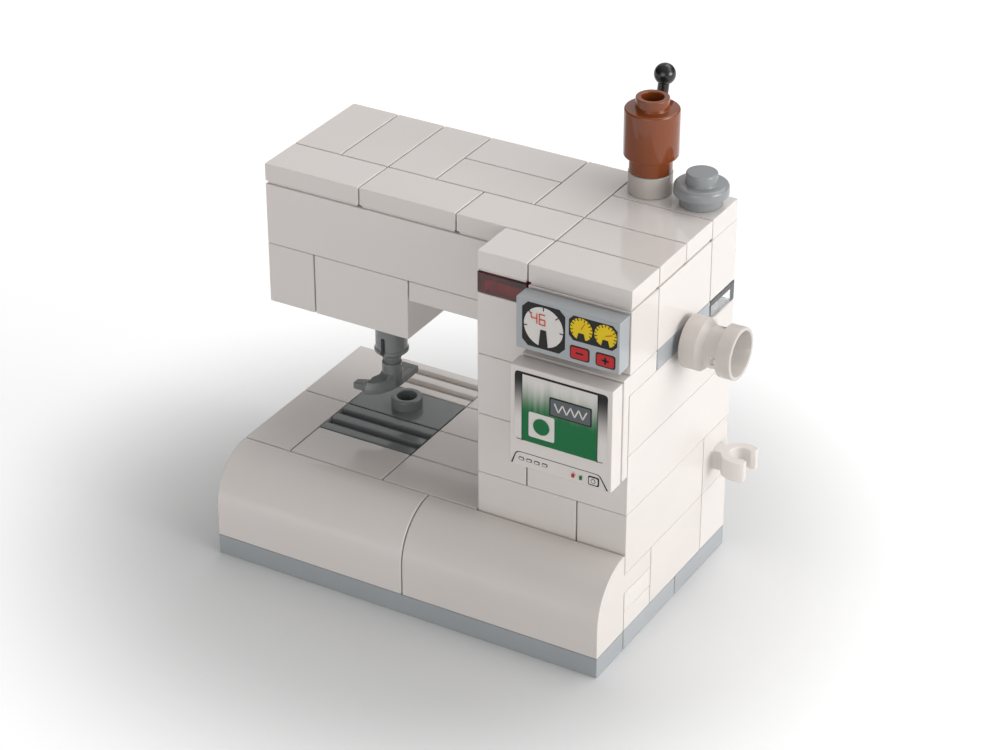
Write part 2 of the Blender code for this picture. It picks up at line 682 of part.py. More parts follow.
def build_bed():
    behind = NOSE + 1
    put("bed_tile_left_front", tile_mesh(1, NOSE), white, at(0, 1, BED_TOP))
    put("bed_tile_left_rear", tile_mesh(1, DEPTH - behind), white, at(0, behind, BED_TOP))
    feed = HEAD_END - 1
    put("bed_tile_needle_front", tile_mesh(feed, 1), white, at(1, 1, BED_TOP))
    put("feed_grille_dark", grille_mesh(feed), dark_grey, at(1, NOSE, BED_TOP))
    put("needle_plate_jumper", jumper_mesh(), dark_grey, at(1, behind, BED_TOP))
    put("feed_grille_white", grille_mesh(feed), white, at(1, behind + 1, BED_TOP))
    throat = TOWER_START - HEAD_END
    for row in range(1, DEPTH):
        put(f"bed_tile_throat_{row}", tile_mesh(throat, 1), white, at(HEAD_END, row, BED_TOP))


def build_tower():
    deep, wide, last = DEPTH - 1, TOWER - 1, LENGTH - 1
    put("tower_brick_lower", brick_mesh(wide, deep, BRICK), white, at(TOWER_START, 1, BED_TOP))
    put("tower_side_lower", brick_mesh(1, deep - 1, BRICK), white, at(last, 1, BED_TOP))
    clip_brick = put("clip_brick", brick_mesh(1, 1, BRICK), white, at(last, DEPTH - 1, BED_TOP))
    reach = (PITCH - SIDE_GAP + CLIP_REACH, PITCH / 2, CLIP_Z)
    helper("clip_shape", clip_mesh(), clip_brick, "UNION", reach)
    middle = at(LENGTH - wide, 1, MIDDLE)
    put("tower_brick_middle", brick_mesh(wide, deep, BRICK), white, middle)
    put("tower_side_middle", brick_mesh(1, deep, BRICK), white, at(TOWER_START, 1, MIDDLE))
    put("tower_brick_upper", brick_mesh(wide, deep, BRICK), white, at(TOWER_START, 1, UPPER))
    put("tower_side_upper", brick_mesh(1, deep, BRICK), white, at(last, 1, UPPER))


def build_tower_front():
    turn = (radians(90), 0, 0)
    panel = LENGTH - 2
    put("screen_bracket", bracket_mesh(), white, at(panel, 1, BEAM_SEAT))
    wall_front = PITCH - SIDE_GAP - BRACKET_WALL
    low = (BEAM_SEAT + 1) * PLATE - 2 * PITCH
    put("screen_tile", tile_mesh(2, 2), white, (panel * PITCH, wall_front, low), turn)
    front_studs = side_studs(2, 1, BRICK)
    put("gauge_brick", brick_mesh(2, 1, BRICK, front=front_studs), white, at(panel, 1, BEAM))
    put("gauge_panel", tile_mesh(2, 1), grey, (panel * PITCH, PITCH, TOP * PLATE - PITCH), turn)
    put("indicator_brick", brick_mesh(1, 1, BRICK), white, at(TOWER_START, 1, BEAM_SEAT))
    put("indicator_lamp", brick_mesh(1, 1, PLATE), clear_red, at(TOWER_START, 1, BEAM_SEAT + 3))
    put("clear_plate", brick_mesh(2, 1, PLATE), clear, at(panel, DEPTH - 1, BEAM_SEAT))


def build_head_and_beam():
    put("head_end_brick", brick_mesh(1, ARM, BRICK), white, at(0, NOSE, HEAD))
    put("head_brick", brick_mesh(HEAD_END - 1, ARM, BRICK), white, at(1, NOSE, HEAD))
    gap = TOWER_START + 1 - HEAD_END
    put("arm_plate", brick_mesh(gap, ARM, PLATE), white, at(HEAD_END, NOSE, BEAM_SEAT))
    put("beam_brick_front", brick_mesh(LENGTH, ARM - 1, BRICK), white, at(0, NOSE, BEAM))
    put("beam_brick_rear", brick_mesh(LENGTH, 1, BRICK), white, at(0, DEPTH - 1, BEAM))


def build_top():
    second, rows = NOSE + 1, ARM - 1
    for i, column_ in enumerate(range(0, LENGTH, 2)):
        tile = tile_mesh(min(2, LENGTH - column_), 1)
        put(f"top_tile_front_{i + 1}", tile, white, at(column_, NOSE, TOP))
    for i in range(HEAD_END):
        put(f"top_tile_head_{i + 1}", tile_mesh(1, rows), white, at(i, second, TOP))
    for i in range(rows):
        tile = tile_mesh(TOWER_START - HEAD_END, 1)
        put(f"top_tile_arm_{i + 1}", tile, white, at(HEAD_END, second + i, TOP))
    put("top_tile_cross", tile_mesh(1, rows), white, at(TOWER_START, second, TOP))
    panel = LENGTH - 2
    put("top_tile_spool_front", tile_mesh(2, rows - 1), white, at(panel, second, TOP))
    put("top_plate_spool", brick_mesh(2, 1, PLATE), white, at(panel, DEPTH - 1, TOP))
    put("top_tile_lamp", tile_mesh(TOWER - 2, 1), white, at(TOWER_START, 1, TOP))
    put("top_tile_gauge", tile_mesh(2, 1), white, at(panel, 1, TOP))


def build_handwheel():
    plate = brick_mesh(2, DEPTH - 1 - NOSE, PLATE)
    plate = put("handwheel_plate", plate, grey, at(LENGTH - 2, NOSE, BEAM_SEAT))
    along_x = (0, radians(90), 0)
    root = (2 * PITCH - SIDE_GAP, PITCH, AXLE_Z)
    helper("axle", axle_mesh(), plate, "UNION", root, along_x)
    wheel = put("handwheel", wheel_mesh(), white, WHEEL_AT, along_x)
    helper("handwheel_notches", notch_mesh(), wheel, "DIFFERENCE")


def build_spool():
    base = put("spool_base", spool_base_mesh(), white, SPOOL_AT)
    for name, side in (("ear_left", -1), ("ear_right", 1)):
        helper(name, ear_mesh(side), base, "UNION")
    put("thread_spool", spool_mesh(), brown, SPOOL_AT + Vector((0, 0, PLATE)))
    put("knob", round_plate_mesh(), grey, KNOB_AT)
    lever = put("lever", lever_hub_mesh(), black, LEVER_AT, (0, radians(90), 0))
    tilt = Matrix.Rotation(radians(-90), 4, "Y") @ Matrix.Rotation(-LEVER_TILT, 4, "X")
    helper("lever_stick", lever_stick_mesh(), lever, "UNION", turn=tilt.to_euler())


def build_presser_foot():
    pin = put("needle_pin", half_pin_mesh(), steel_grey, PIN_AT)
    helper("needle_pin_slot", slot_mesh(), pin, "DIFFERENCE")
    foot_at = Vector((PIN_AT.x, PIN_AT.y, BED_SURFACE + FOOT_LIFT))
    foot = put("presser_foot", foot_mesh(), steel_grey, foot_at)
    helper("foot_bar", foot_bar_mesh(), foot, "UNION")


clear_scene()
white = plastic("white", (0.79, 0.77, 0.75))
grey = plastic("light_grey", (0.36, 0.39, 0.41))
dark_grey = plastic("dark_grey", (0.15, 0.16, 0.16))
steel_grey = plastic("pin_grey", (0.17, 0.18, 0.18))
brown = plastic("brown", (0.21, 0.07, 0.035), 0.16)
black = plastic("black", (0.02, 0.02, 0.02), 0.18)
clear = plastic("clear", (0.9, 0.92, 0.93), 0.05, 0.9)
clear_red = plastic("clear_red", (0.12, 0.01, 0.012), 0.05, 0.7)

machine = bpy.data.objects.new("sewing_machine", None)
bpy.context.scene.collection.objects.link(machine)
machine.location = -ORIGIN

build_base()
build_body()
build_bed()
build_tower()
build_tower_front()
build_head_and_beam()
build_top()
build_handwheel()
build_spool()
build_presser_foot()
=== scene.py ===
import json
import random
from math import acos, asin, cos, pi, radians, sin, tan

import bmesh
import bpy
from mathutils import Matrix, Vector


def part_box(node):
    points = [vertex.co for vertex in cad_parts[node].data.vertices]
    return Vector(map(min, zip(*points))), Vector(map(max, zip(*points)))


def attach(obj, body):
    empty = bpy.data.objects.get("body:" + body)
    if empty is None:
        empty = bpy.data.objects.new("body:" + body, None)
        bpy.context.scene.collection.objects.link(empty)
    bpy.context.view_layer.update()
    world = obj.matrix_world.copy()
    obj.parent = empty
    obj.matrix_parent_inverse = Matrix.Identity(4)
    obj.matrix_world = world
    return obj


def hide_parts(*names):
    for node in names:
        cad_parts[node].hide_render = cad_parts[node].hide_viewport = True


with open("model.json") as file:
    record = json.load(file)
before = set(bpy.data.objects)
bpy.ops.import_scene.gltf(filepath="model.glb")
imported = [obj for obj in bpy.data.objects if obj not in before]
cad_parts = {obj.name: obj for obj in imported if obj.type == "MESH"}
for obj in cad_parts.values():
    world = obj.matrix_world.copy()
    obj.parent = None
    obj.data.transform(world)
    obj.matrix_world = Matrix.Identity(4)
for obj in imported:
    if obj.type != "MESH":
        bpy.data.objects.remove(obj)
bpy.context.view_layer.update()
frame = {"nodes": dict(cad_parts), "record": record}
mm = 0.001

# the grid that the bricks stand on, in millimetres
cell = 8  # stud to stud
plate = 3.2  # a plate or tile with the gap under it
brick = 9.6
gap = 0.1  # from a piece to the sides of its cell
lift = 0.05  # from a piece to the one that it lies on
thin = plate - lift  # a plate's or tile's own body
studRise = 1.65
fine = 0.1  # rounding of the small corners of turned pieces

pitch = cell * mm
sideGap = gap * mm
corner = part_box("base_front_plate")[0]
gridStart = Vector((corner.x - sideGap, corner.y - sideGap, 0))
behaviour = frame["record"]["behaviour"]
bodyOf = {node: body for body, nodes in behaviour["bodies"].items() for node in nodes}
slotOf = {part["node"]: part["material_slot"] for part in frame["record"]["subparts"]}
jointAt = {joint["name"]: Vector(joint.get("pos_m", (0, 0, 0))) for joint in behaviour["joints"]}

sideways = Matrix(((0, 0, 1, 0), (1, 0, 0, 0), (0, 1, 0, 0), (0, 0, 0, 1)))  # for (y, z) outlines
toFront = Matrix.Rotation(radians(90), 4, "X")  # turns a top face forward
alongX = Matrix.Rotation(radians(90), 4, "Y")


def spot(columns, rows, plates):
    # a place counted in studs and plates from the machine's front left corner
    return gridStart + Vector((columns * pitch, rows * pitch, plates * plate * mm))


def linear(hexColour):
    parts = [int(hexColour[i:i + 2], 16) / 255 for i in (1, 3, 5)]
    return (*[c / 12.92 if c <= 0.04045 else ((c + 0.055) / 1.055) ** 2.4 for c in parts], 1.0)


def addNode(tree, kind, values=(), links=(), **settings):
    node = tree.nodes.new(kind)
    for name, value in settings.items():
        setattr(node, name, value)
    for key, value in dict(values).items():
        node.inputs[key].default_value = value
    for key, socket in dict(links).items():
        tree.links.new(socket, node.inputs[key])
    return node


# Materials

def newMaterial(name):
    material = bpy.data.materials.new(name)
    material.use_nodes = True
    tree = material.node_tree
    return material, tree, tree.nodes["Principled BSDF"]


gloss = {
    "flowSize": 20 * mm,  # slow change of tone along the flow of the plastic
    "polishSize": 4 * mm,  # patches of a little more or less polish
    "polishSpread": 0.02,  # of the roughness, up and down
    "waveSize": 6 * mm,  # sink marks over the ribs inside
    "waveHeight": 0.005 * mm,
    "grainSize": 0.35 * mm,  # the mould's own polish marks
    "grainHeight": 0.0005 * mm,
    "ior": 1.54,
    "hazeDepth": 0.4 * mm,  # how far light goes into the white
    "hazeReach": (1.0, 0.9, 0.8),
}


def mouldedAbs(name, colour, deeper, roughness=0.1, haze=0.0):
    # ABS from a polished mould: one even colour, a clear gloss that wavers a little over the ribs
    material, tree, shader = newMaterial(name)
    where = {"Vector": addNode(tree, "ShaderNodeTexCoord").outputs["Object"]}
    tone = addNode(tree, "ShaderNodeAttribute", attribute_name="tone").outputs["Fac"]
    flow = addNode(tree, "ShaderNodeTexNoise", {"Scale": 1 / gloss["flowSize"], "Detail": 2.0}, where)
    swing = addNode(tree, "ShaderNodeMath", (), {0: flow.outputs["Fac"], 1: tone}, operation="MULTIPLY")
    mix = addNode(tree, "ShaderNodeMix", {6: linear(colour), 7: linear(deeper)}, {0: swing.outputs[0]},
                  data_type="RGBA")
    tree.links.new(mix.outputs[2], shader.inputs["Base Color"])
    polish = addNode(tree, "ShaderNodeTexNoise", {"Scale": 1 / gloss["polishSize"], "Detail": 3.0}, where)
    spread = gloss["polishSpread"]
    ramp = addNode(tree, "ShaderNodeMapRange", {3: roughness - spread, 4: roughness + spread},
                   {0: polish.outputs["Fac"]})
    tree.links.new(ramp.outputs[0], shader.inputs["Roughness"])
    wave = addNode(tree, "ShaderNodeTexNoise", {"Scale": 1 / gloss["waveSize"], "Detail": 0.0}, where)
    grain = addNode(tree, "ShaderNodeTexNoise", {"Scale": 1 / gloss["grainSize"], "Detail": 2.0}, where)
    sink = addNode(tree, "ShaderNodeBump", {"Strength": 1.0, "Distance": gloss["waveHeight"]},
                   {"Height": wave.outputs["Fac"]})
    marks = addNode(tree, "ShaderNodeBump", {"Strength": 1.0, "Distance": gloss["grainHeight"]},
                    {"Height": grain.outputs["Fac"], "Normal": sink.outputs[0]})
    tree.links.new(marks.outputs[0], shader.inputs["Normal"])
    shader.inputs["IOR"].default_value = gloss["ior"]
    shader.inputs["Subsurface Weight"].default_value = haze
    shader.inputs["Subsurface Radius"].default_value = gloss["hazeReach"]
    shader.inputs["Subsurface Scale"].default_value = gloss["hazeDepth"]
    return material


clearGloss = {
    "waveSize": 3 * mm,
    "waveHeight": 0.01 * mm,
    "roughness": 0.02,
    "ior": 1.585,
    "passed": 0.97,  # share of the light that goes through
}


def clearPolycarbonate(name, colour):
    # clear polycarbonate: a polished see-through piece whose studs and ribs show through
    material, tree, shader = newMaterial(name)
    where = {"Vector": addNode(tree, "ShaderNodeTexCoord").outputs["Object"]}
    wave = addNode(tree, "ShaderNodeTexNoise", {"Scale": 1 / clearGloss["waveSize"], "Detail": 1.0}, where)
    bump = addNode(tree, "ShaderNodeBump", {"Strength": 1.0, "Distance": clearGloss["waveHeight"]},
                   {"Height": wave.outputs["Fac"]})
    tree.links.new(bump.outputs[0], shader.inputs["Normal"])
    shader.inputs["Base Color"].default_value = linear(colour)
    shader.inputs["Roughness"].default_value = clearGloss["roughness"]
    shader.inputs["IOR"].default_value = clearGloss["ior"]
    shader.inputs["Transmission Weight"].default_value = clearGloss["passed"]
    return material


inkFilm = {
    "speckSize": 0.12 * mm,  # grain of the dried ink
    "roughness": (0.23, 0.36),
    "shine": 0.25,
    "streakSize": 0.75 * mm,  # across the upright streaks of a fade
    "streakSquash": 0.06,  # of the height, so that the streaks stand upright
}


def padPrint(name, colour):
    # pad printing ink: thin, flat and a little duller than the plastic under it
    material, tree, shader = newMaterial(name)
    where = {"Vector": addNode(tree, "ShaderNodeTexCoord").outputs["Object"]}
    speck = addNode(tree, "ShaderNodeTexNoise", {"Scale": 1 / inkFilm["speckSize"], "Detail": 2.0}, where)
    smooth, rough = inkFilm["roughness"]
    ramp = addNode(tree, "ShaderNodeMapRange", {3: smooth, 4: rough}, {0: speck.outputs["Fac"]})
    tree.links.new(ramp.outputs[0], shader.inputs["Roughness"])
    shader.inputs["Base Color"].default_value = linear(colour)
    shader.inputs["Specular IOR Level"].default_value = inkFilm["shine"]
    return material


def fadePrint(name, low, high, lowColour, highColour, streak=0.0):
    # a printed fade between two heights, its dots thinning out in upright streaks
    material = padPrint(name, lowColour)
    tree = material.node_tree
    where = addNode(tree, "ShaderNodeTexCoord").outputs["Object"]
    split = addNode(tree, "ShaderNodeSeparateXYZ", (), {0: where})
    upright = addNode(tree, "ShaderNodeVectorMath", {1: (1, 1, inkFilm["streakSquash"])}, {0: where},
                      operation="MULTIPLY")
    lines = addNode(tree, "ShaderNodeTexNoise", {"Scale": 1 / inkFilm["streakSize"], "Detail": 1.0},
                    {"Vector": upright.outputs[0]})
    level = addNode(tree, "ShaderNodeMath", {1: streak}, {0: lines.outputs["Fac"], 2: split.outputs["Z"]},
                    operation="MULTIPLY_ADD")
    ramp = addNode(tree, "ShaderNodeMapRange", {1: low + streak / 2, 2: high + streak / 2},
                   {0: level.outputs[0]}, interpolation_type="SMOOTHSTEP")
    mix = addNode(tree, "ShaderNodeMix", {6: linear(lowColour), 7: linear(highColour)},
                  {0: ramp.outputs[0]}, data_type="RGBA")
    tree.links.new(mix.outputs[2], tree.nodes["Principled BSDF"].inputs["Base Color"])
    return material


finishes = {
    "white_plastic": mouldedAbs("white moulded ABS", "#E3DDD9", "#DCD5D0", haze=0.05),
    # painted shade: the wheel is the bricks' white plastic, made darker for the shade that falls on it and in
    # its cup
    "white_wheel_plastic": mouldedAbs("white ABS with painted shade for the wheel", "#CFC8C3", "#C8C1BB", haze=0.05),
    "light_grey_plastic": mouldedAbs("light bluish grey ABS", "#A9ADB0", "#A2A6A9"),
    "dark_grey_plastic": mouldedAbs("dark grey ABS", "#797C7D", "#737677", 0.14),
    "pin_grey_plastic": mouldedAbs("grey acetal", "#828687", "#7C8081", 0.2),
    "brown_plastic": mouldedAbs("reddish brown ABS", "#81401C", "#793B19", 0.07),
    "black_plastic": mouldedAbs("black ABS", "#1E1E1F", "#1A1A1B", 0.1),
    "clear_plastic": clearPolycarbonate("clear polycarbonate", "#F1F4F5"),
    "clear_red_plastic": clearPolycarbonate("clear red polycarbonate", "#B80409"),
}
paintedShadeFinishes = {  # two pieces made darker than their slot's plastic, as painted shade for the shade under the spool and round the knob
    "spool_base": mouldedAbs("white ABS with painted shade for the spool base", "#BDB6B1", "#B5AEA9", haze=0.05),
    "knob": mouldedAbs("grey ABS with painted shade for the knob", "#8F9294", "#888B8D"),
}
print("plastics made:", len(finishes) + len(paintedShadeFinishes))


def finishOf(node):
    return paintedShadeFinishes.get(node, finishes[slotOf[node]])


# Shapes

def soften(points, steps=4):
    # rounds the corners of a profile: each point is (u, v) or (u, v, radius)
    made = []
    for i, point in enumerate(points):
        here = Vector(point[:2])
        radius = point[2] if len(point) > 2 else 0
        if not radius:
            made.append(here)
            continue
        before = Vector(points[i - 1][:2]) - here
        after = Vector(points[(i + 1) % len(points)][:2]) - here
        half = before.angle(after) / 2
        # at most half of each side, so that two corners never cross
        reach = min(radius / tan(half), before.length * 0.49, after.length * 0.49)
        start, end = here + before.normalized() * reach, here + after.normalized() * reach
        for k in range(steps + 1):
            t = k / steps
            made.append(start * (1 - t) ** 2 + here * 2 * t * (1 - t) + end * t ** 2)
    return [tuple(p) for p in made]


def arc(radius, start, end, steps):
    turns = [start + (end - start) * i / steps for i in range(steps + 1)]
    return [(radius * cos(t), radius * sin(t)) for t in turns]


def turned(profile, sides=96, closed=False):
    # turns an (r, z) profile in millimetres round Z
    mesh = bmesh.new()
    rings = []
    for r, z in profile:
        count = 1 if r < 1e-7 else sides  # one point on the axis itself
        turns = [2 * pi * i / sides for i in range(count)]
        rings.append([mesh.verts.new((r * cos(t) * mm, r * sin(t) * mm, z * mm)) for t in turns])
    pairs = list(zip(rings, rings[1:])) + ([(rings[-1], rings[0])] if closed else [])
    for a, b in pairs:
        for i in range(sides):
            j = (i + 1) % sides
            around = [a[i % len(a)], a[j % len(a)], b[j % len(b)], b[i % len(b)]]
            around = list(dict.fromkeys(around))
            if len(around) > 2:
                mesh.faces.new(around)
    return mesh


def extruded(outline, low, high):
    # extrudes an (x, y) outline in millimetres along Z
    mesh = bmesh.new()
    base = [mesh.verts.new((x * mm, y * mm, low * mm)) for x, y in outline]
    face = mesh.faces.new(base)
    lifted = bmesh.ops.extrude_face_region(mesh, geom=[face])["geom"]
    verts = [v for v in lifted if isinstance(v, bmesh.types.BMVert)]
    bmesh.ops.translate(mesh, verts=verts, vec=(0, 0, (high - low) * mm))
    return mesh


def objectFrom(mesh, name, place=Matrix()):
    # a finished bmesh as an object whose place is in its mesh
    bmesh.ops.remove_doubles(mesh, verts=mesh.verts, dist=1e-7)
    bmesh.ops.recalc_face_normals(mesh, faces=mesh.faces)
    mesh.transform(place)
    data = bpy.data.meshes.new(name)
    mesh.to_mesh(data)
    mesh.free()
    data.shade_smooth()
    data.set_sharp_from_angle(angle=radians(35))
    made = bpy.data.objects.new(name, data)
    bpy.context.scene.collection.objects.link(made)
    return made


def modify(piece, kind, **settings):
    modifier = piece.modifiers.new(kind.lower(), kind)
    for name, value in settings.items():
        setattr(modifier, name, value)
    return modifier


def bake(piece):
    # turns the modifiers' result into a plain mesh
    evaluated = piece.evaluated_get(bpy.context.evaluated_depsgraph_get())
    data = bpy.data.meshes.new_from_object(evaluated)
    piece.modifiers.clear()
    piece.data = data
    return piece


def evenNormals(piece):
    # even reflections on the flats beside rounded edges
    modify(piece, "WEIGHTED_NORMAL", keep_sharp=True)
    return bake(piece)


def easeEdges(piece, width, segments=2, angle=40):
    modify(piece, "BEVEL", width=width * mm, segments=segments, limit_method="ANGLE",
           angle_limit=radians(angle))
    return evenNormals(piece)


def shape(piece, *others, operation="UNION"):
    for other in others:
        modify(piece, "BOOLEAN", operation=operation, object=other, solver="EXACT")
    bake(piece)
    for other in others:
        bpy.data.objects.remove(other)
    return piece


def merge(piece, *others):
    # several closed shells as one piece
    mesh = bmesh.new()
    for part in (piece, *others):
        mesh.from_mesh(part.data)
    mesh.to_mesh(piece.data)
    mesh.free()
    for other in others:
        bpy.data.objects.remove(other)
    return piece


toneRange = (0.2, 1.6)  # how far each piece goes to its plastic's deeper shade
tones = random.Random(8)


def dress(piece, node):
    # puts a piece in a node's place with that node's finish
    piece.data.materials.clear()
    piece.data.materials.append(finishOf(node))
    tone = piece.data.attributes.new("tone", "FLOAT", "POINT")
    tone.data.foreach_set("value", [tones.uniform(*toneRange)] * len(tone.data))
    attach(piece, bodyOf[node])
    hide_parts(node)
    return piece


# Studs and tubes in rows, for every brick

peg = {
    "studRadius": 2.4 * mm,
    "studHeight": studRise * mm,
    "tubeRadius": 2.957 * mm,
    "boreRadius": 2.4 * mm,
    "postRadius": 1.3 * mm,
    "sunk": 0.02 * mm,  # a stud's foot in its brick
    "sides": 40,
}


def pegRows():
    # a grid of studs, posts or tubes round a middle; a bore of more than 0 makes tubes
    tree = bpy.data.node_groups.new("pegRows", "GeometryNodeTree")
    kinds = {"Geometry": "Geometry", "Across": "Int", "Deep": "Int", "Pitch": "Float", "Radius": "Float",
             "Bore": "Float", "Length": "Float", "Middle": "Vector", "Material": "Material"}
    for name, kind in kinds.items():
        tree.interface.new_socket(name, in_out="INPUT", socket_type=f"NodeSocket{kind}")
    tree.interface.new_socket("Geometry", in_out="OUTPUT", socket_type="NodeSocketGeometry")
    given = addNode(tree, "NodeGroupInput").outputs
    index = addNode(tree, "GeometryNodeInputIndex").outputs[0]
    column = addNode(tree, "ShaderNodeMath", (), {0: index, 1: given["Across"]}, operation="MODULO")
    turn = addNode(tree, "ShaderNodeMath", (), {0: index, 1: given["Across"]}, operation="DIVIDE")
    row = addNode(tree, "ShaderNodeMath", (), {0: turn.outputs[0]}, operation="FLOOR")
    places = []
    for number, count in ((column, given["Across"]), (row, given["Deep"])):
        last = addNode(tree, "ShaderNodeMath", {1: 1.0}, {0: count}, operation="SUBTRACT")
        half = addNode(tree, "ShaderNodeMath", {1: 2.0}, {0: last.outputs[0]}, operation="DIVIDE")
        step = addNode(tree, "ShaderNodeMath", (), {0: number.outputs[0], 1: half.outputs[0]},
                       operation="SUBTRACT")
        place = addNode(tree, "ShaderNodeMath", (), {0: step.outputs[0], 1: given["Pitch"]},
                        operation="MULTIPLY")
        places.append(place.outputs[0])
    offset = addNode(tree, "ShaderNodeCombineXYZ", (), {0: places[0], 1: places[1]})
    place = addNode(tree, "ShaderNodeVectorMath", (), {0: offset.outputs[0], 1: given["Middle"]},
                    operation="ADD")
    total = addNode(tree, "ShaderNodeMath", (), {0: given["Across"], 1: given["Deep"]},
                    operation="MULTIPLY")
    points = addNode(tree, "GeometryNodePoints", (),
                     {"Count": total.outputs[0], "Position": place.outputs[0]})
    solid = addNode(tree, "GeometryNodeMeshCylinder", {"Vertices": peg["sides"]},
                    {"Radius": given["Radius"], "Depth": given["Length"]})
    both = addNode(tree, "ShaderNodeMath", (), {0: given["Radius"], 1: given["Bore"]}, operation="ADD")
    mean = addNode(tree, "ShaderNodeMath", {1: 0.5}, {0: both.outputs[0]}, operation="MULTIPLY")
    path = addNode(tree, "GeometryNodeCurvePrimitiveCircle", {"Resolution": peg["sides"]},
                   {"Radius": mean.outputs[0]})
    skin = addNode(tree, "ShaderNodeMath", (), {0: given["Radius"], 1: given["Bore"]},
                   operation="SUBTRACT")
    wall = addNode(tree, "GeometryNodeCurvePrimitiveQuadrilateral", (),
                   {"Width": skin.outputs[0], "Height": given["Length"]})
    hollow = addNode(tree, "GeometryNodeCurveToMesh", (),
                     {"Curve": path.outputs["Curve"], "Profile Curve": wall.outputs["Curve"]})
    isHollow = addNode(tree, "FunctionNodeCompare", {"B": 0.0}, {"A": given["Bore"]},
                       data_type="FLOAT", operation="GREATER_THAN")
    pick = addNode(tree, "GeometryNodeSwitch", (), {"Switch": isHollow.outputs[0],
                   "False": solid.outputs["Mesh"], "True": hollow.outputs["Mesh"]}, input_type="GEOMETRY")
    rows = addNode(tree, "GeometryNodeInstanceOnPoints", (),
                   {"Points": points.outputs[0], "Instance": pick.outputs[0]})
    join = addNode(tree, "GeometryNodeJoinGeometry")
    tree.links.new(rows.outputs[0], join.inputs[0])
    tree.links.new(given["Geometry"], join.inputs[0])
    real = addNode(tree, "GeometryNodeRealizeInstances", (), {"Geometry": join.outputs[0]})
    painted = addNode(tree, "GeometryNodeSetMaterial", (),
                      {"Geometry": real.outputs[0], "Material": given["Material"]})
    addNode(tree, "NodeGroupOutput", (), {0: painted.outputs[0]})
    return tree


pegTree = pegRows()


def addPegs(piece, node, across, deep, radius, bore, length, middle):
    modifier = modify(piece, "NODES", node_group=pegTree)
    values = {"Across": across, "Deep": deep, "Pitch": pitch, "Radius": radius, "Bore": bore,
              "Length": length, "Middle": tuple(middle), "Material": finishOf(node)}
    for item in pegTree.interface.items_tree:
        if item.in_out == "INPUT" and item.name in values:
            modifier[item.identifier] = values[item.name]


def addStuds(piece, node, across, deep, foot):
    # a grid of studs whose feet stand round one point
    middle = foot + Vector((0, 0, peg["studHeight"] / 2))
    addPegs(piece, node, across, deep, peg["studRadius"], 0.0, peg["studHeight"], middle)


# Bricks, plates and tiles

block = {
    "edge": 0.14,  # rounding of the outer edges
    "wall": 1.2,
    "ceiling": 1.2,
    "studRoom": 1.9,  # hollow of a plate or tile
    "brickFrom": 4,  # a piece that is higher is a brick
    "grooveHeight": 0.4,  # the groove round a tile's foot
    "grooveDepth": 0.25,
}


def roomUnder(height):
    return block["studRoom"] if height < block["brickFrom"] else height - block["ceiling"]


def sinkFace(mesh, face, inset, depth):
    # insets a downward face and pushes its middle up by depth
    bmesh.ops.inset_individual(mesh, faces=[face], thickness=inset * mm)
    made = bmesh.ops.extrude_discrete_faces(mesh, faces=[face])["faces"][0]
    bmesh.ops.translate(mesh, verts=made.verts, vec=(0, 0, depth * mm))
    return made


def blockShell(width, depth, height, tile=False, hollow=True):
    # a shell in millimetres from the origin, open below
    mesh = bmesh.new()
    groove = block["grooveHeight"] if tile else 0
    bmesh.ops.create_cube(mesh, size=1)
    box = Matrix.Translation((width / 2 * mm, depth / 2 * mm, (groove + height) / 2 * mm))
    box = box @ Matrix.Diagonal((width * mm, depth * mm, (height - groove) * mm, 1))
    mesh.transform(box)
    bmesh.ops.bevel(mesh, geom=mesh.edges[:], offset=block["edge"] * mm, segments=3, profile=0.5,
                    affect="EDGES")
    face = max((f for f in mesh.faces if f.normal.z < -0.99), key=lambda f: f.calc_area())
    if tile:
        face = sinkFace(mesh, face, block["grooveDepth"], -groove)
    if hollow:
        inset = block["wall"] - block["edge"] - (block["grooveDepth"] if tile else 0)
        sinkFace(mesh, face, inset, roomUnder(height))
    return mesh


def makeBlock(node, low=None, high=None, facing=False):
    # a brick, plate or tile between two corners; a facing one is a tile that looks forward
    if low is None:
        low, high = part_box(node)
    tile = facing or "tile" in node
    size = (high - low) / mm
    place = Matrix.Translation(low)
    if facing:
        size = Vector((size.x, size.z, size.y))
        place = Matrix.Translation((low.x, high.y, low.z)) @ toFront
    columns, rows = round(size.x / cell), round(size.y / cell)
    width, depth = columns * cell - 2 * gap, rows * cell - 2 * gap
    height = size.z if tile else size.z - studRise
    if facing:
        height = thin
    piece = objectFrom(blockShell(width, depth, height, tile), f"{node}_look")
    modify(piece, "WEIGHTED_NORMAL", keep_sharp=True)
    middle = Vector((width / 2, depth / 2, 0)) * mm
    if not tile:
        addStuds(piece, node, columns, rows, middle + Vector((0, 0, height * mm - peg["sunk"])))
    room = roomUnder(height) * mm
    across, deep = max(columns - 1, 1), max(rows - 1, 1)
    middle.z = room / 2
    if min(columns, rows) > 1:
        addPegs(piece, node, across, deep, peg["tubeRadius"], peg["boreRadius"], room, middle)
    elif max(columns, rows) > 1:
        addPegs(piece, node, across, deep, peg["postRadius"], 0.0, room, middle)
    bake(piece)
    piece.data.transform(place)
    return piece


ownShapes = {"curved_front_left", "curved_front_right", "feed_grille_dark", "feed_grille_white",
             "needle_plate_jumper", "screen_bracket", "screen_tile", "gauge_panel", "gauge_brick",
             "clip_brick", "handwheel_plate", "handwheel", "spool_base", "thread_spool", "knob", "lever",
             "needle_pin", "presser_foot"}

for node in sorted(frame["nodes"]):
    if node not in ownShapes:
        dress(makeBlock(node), node)
for node in ("screen_tile", "gauge_panel"):
    dress(makeBlock(node, facing=True), node)
print("plain bricks, plates and tiles made")

curve = {
    "straight": 4.8,  # upright part of the front
    "height": 12.8,
    "ledge": 9.6,
    "under": 6.45,  # underside of the ledge
    "steps": 28,
    "skin": 1.2,
}


